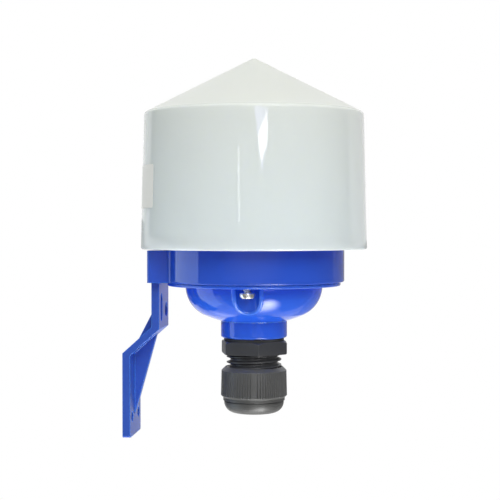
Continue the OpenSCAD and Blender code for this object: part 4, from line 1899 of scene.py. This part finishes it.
    def _lamp(self, lamp: Softbox) -> None:
        """Adds one softbox.

        Args:
            lamp: What it is and where it stands.
        """
        data = bpy.data.lights.new(lamp.name, "AREA")
        data.shape = "RECTANGLE"
        data.size = lamp.size
        data.size_y = lamp.size
        data.energy = lamp.level * math.pi * lamp.size**2
        data.color = lamp.tint
        made = bpy.data.objects.new(lamp.name, data)
        bpy.context.scene.collection.objects.link(made)
        away = self._towards(lamp.left_deg, lamp.up_deg)
        made.location = self.centre + away * lamp.distance
        made.rotation_euler = (-away).to_track_quat("-Z", "Y").to_euler()
        made.visible_camera = False
        made.visible_glossy = lamp.mirrored

    def _card(self, card: MirrorCard) -> None:
        """Sets up one card for glossy surfaces.

        Args:
            card: What it is and where it stands.
        """
        Bench.clear()
        bpy.ops.mesh.primitive_circle_add(
            vertices=len(card.corners), radius=card.distance, fill_type="NGON"
        )
        made = Bench.named(card.name)
        for vertex, (left, up) in zip(made.data.vertices, card.corners):
            vertex.co = self.centre + self._towards(left, up) * card.distance
        self._mirror_only(made, card.level, card.tint)

    def _glow_disc(self, disc: GlowDisc) -> None:
        """Sets up one soft patch of light.

        Args:
            disc: What it is and where it is.
        """
        Bench.clear()
        origin = Vector((self.centre.x, self.centre.y, self.floor_z))
        bpy.ops.mesh.primitive_circle_add(
            vertices=disc.sides,
            radius=1.0,
            fill_type="NGON",
            rotation=(math.radians(disc.tilt_deg), 0.0, math.radians(disc.turn_deg)),
            location=origin + Vector(disc.place),
        )
        made = Bench.named(disc.name)
        made.scale = (*disc.size, 1.0)
        self._mirror_only(made, disc.level, faded=True)

    def _dark_cove(self) -> None:
        """Sets up the grey cove that glossy surfaces show in front."""
        cove = self.cove
        origin = Vector((self.centre.x, self.centre.y, self.floor_z + cove.lift))
        middle, top = (
            self.centre.z - origin.z + cove.outer * math.tan(math.radians(height))
            for height in (cove.middle_deg, cove.top_deg)
        )
        Bench.clear()
        bpy.ops.mesh.primitive_circle_add(
            vertices=cove.sides, radius=cove.inner, location=origin
        )
        made = Bench.named("dark_cove")
        Bench.edit(made)
        bpy.ops.mesh.extrude_edges_move()
        share = cove.outer / cove.inner
        bpy.ops.transform.resize(value=(share, share, 1.0), center_override=origin)
        for rise in (middle, top - middle):
            bpy.ops.mesh.extrude_edges_move(
                TRANSFORM_OT_translate={"value": (0.0, 0.0, rise)}
            )

        def outside(face: bmesh.types.BMFace) -> bool:
            """Says whether a face is past the cove's sides.

            Args:
                face: A face of the full ring.

            Returns:
                True if it isn't part of the cove.
            """
            point = face.calc_center_median()
            turn_deg = math.degrees(math.atan2(point.x, -point.y)) - self.azimuth_deg
            return not cove.covers(turn_deg, point.z, middle)

        Bench.select(made, Element.FACES, outside)
        bpy.ops.mesh.delete(type="FACE")
        Bench.done()
        self._mirror_only(made, cove.level)

    def _mirror_only(
        self, card: Piece, level: float, tint: Colour = PLAIN, faded: bool = False
    ) -> None:
        """Gives a card its glow and hides it from all but glossy surfaces.

        Args:
            card: The card.
            level: Its radiance.
            tint: Its colour.
            faded: Whether the glow of a disc fades out to its edge.
        """
        material = bpy.data.materials.new(card.name)
        graph = Graph.emptied(material)
        surface = graph.add("Emission", {"Color": tint, "Strength": level}).outputs[0]
        if faded:
            gone = graph.remap(graph.reach(), (0.0, 1.0))
            clear = graph.add("BsdfTransparent").outputs[0]
            surface = graph.add("MixShader", {0: gone, 1: surface, 2: clear}).outputs[0]
        graph.add("OutputMaterial", {"Surface": surface})
        card.data.materials.append(material)
        card.visible_camera = False
        card.visible_diffuse = False
        card.visible_shadow = False
        card.visible_transmission = False


def main() -> None:
    """Builds the sub-assemblies in order, then the studio."""
    logging.basicConfig(level=logging.INFO, format="%(name)s: %(message)s")
    for assembly in (Cap(), Housing(), CoverScrews(), CableGland(), Electronics()):
        LOG.info("building %s", type(assembly).__name__)
        assembly.build()
    Studio().build()


if __name__ == "__main__":
    main()
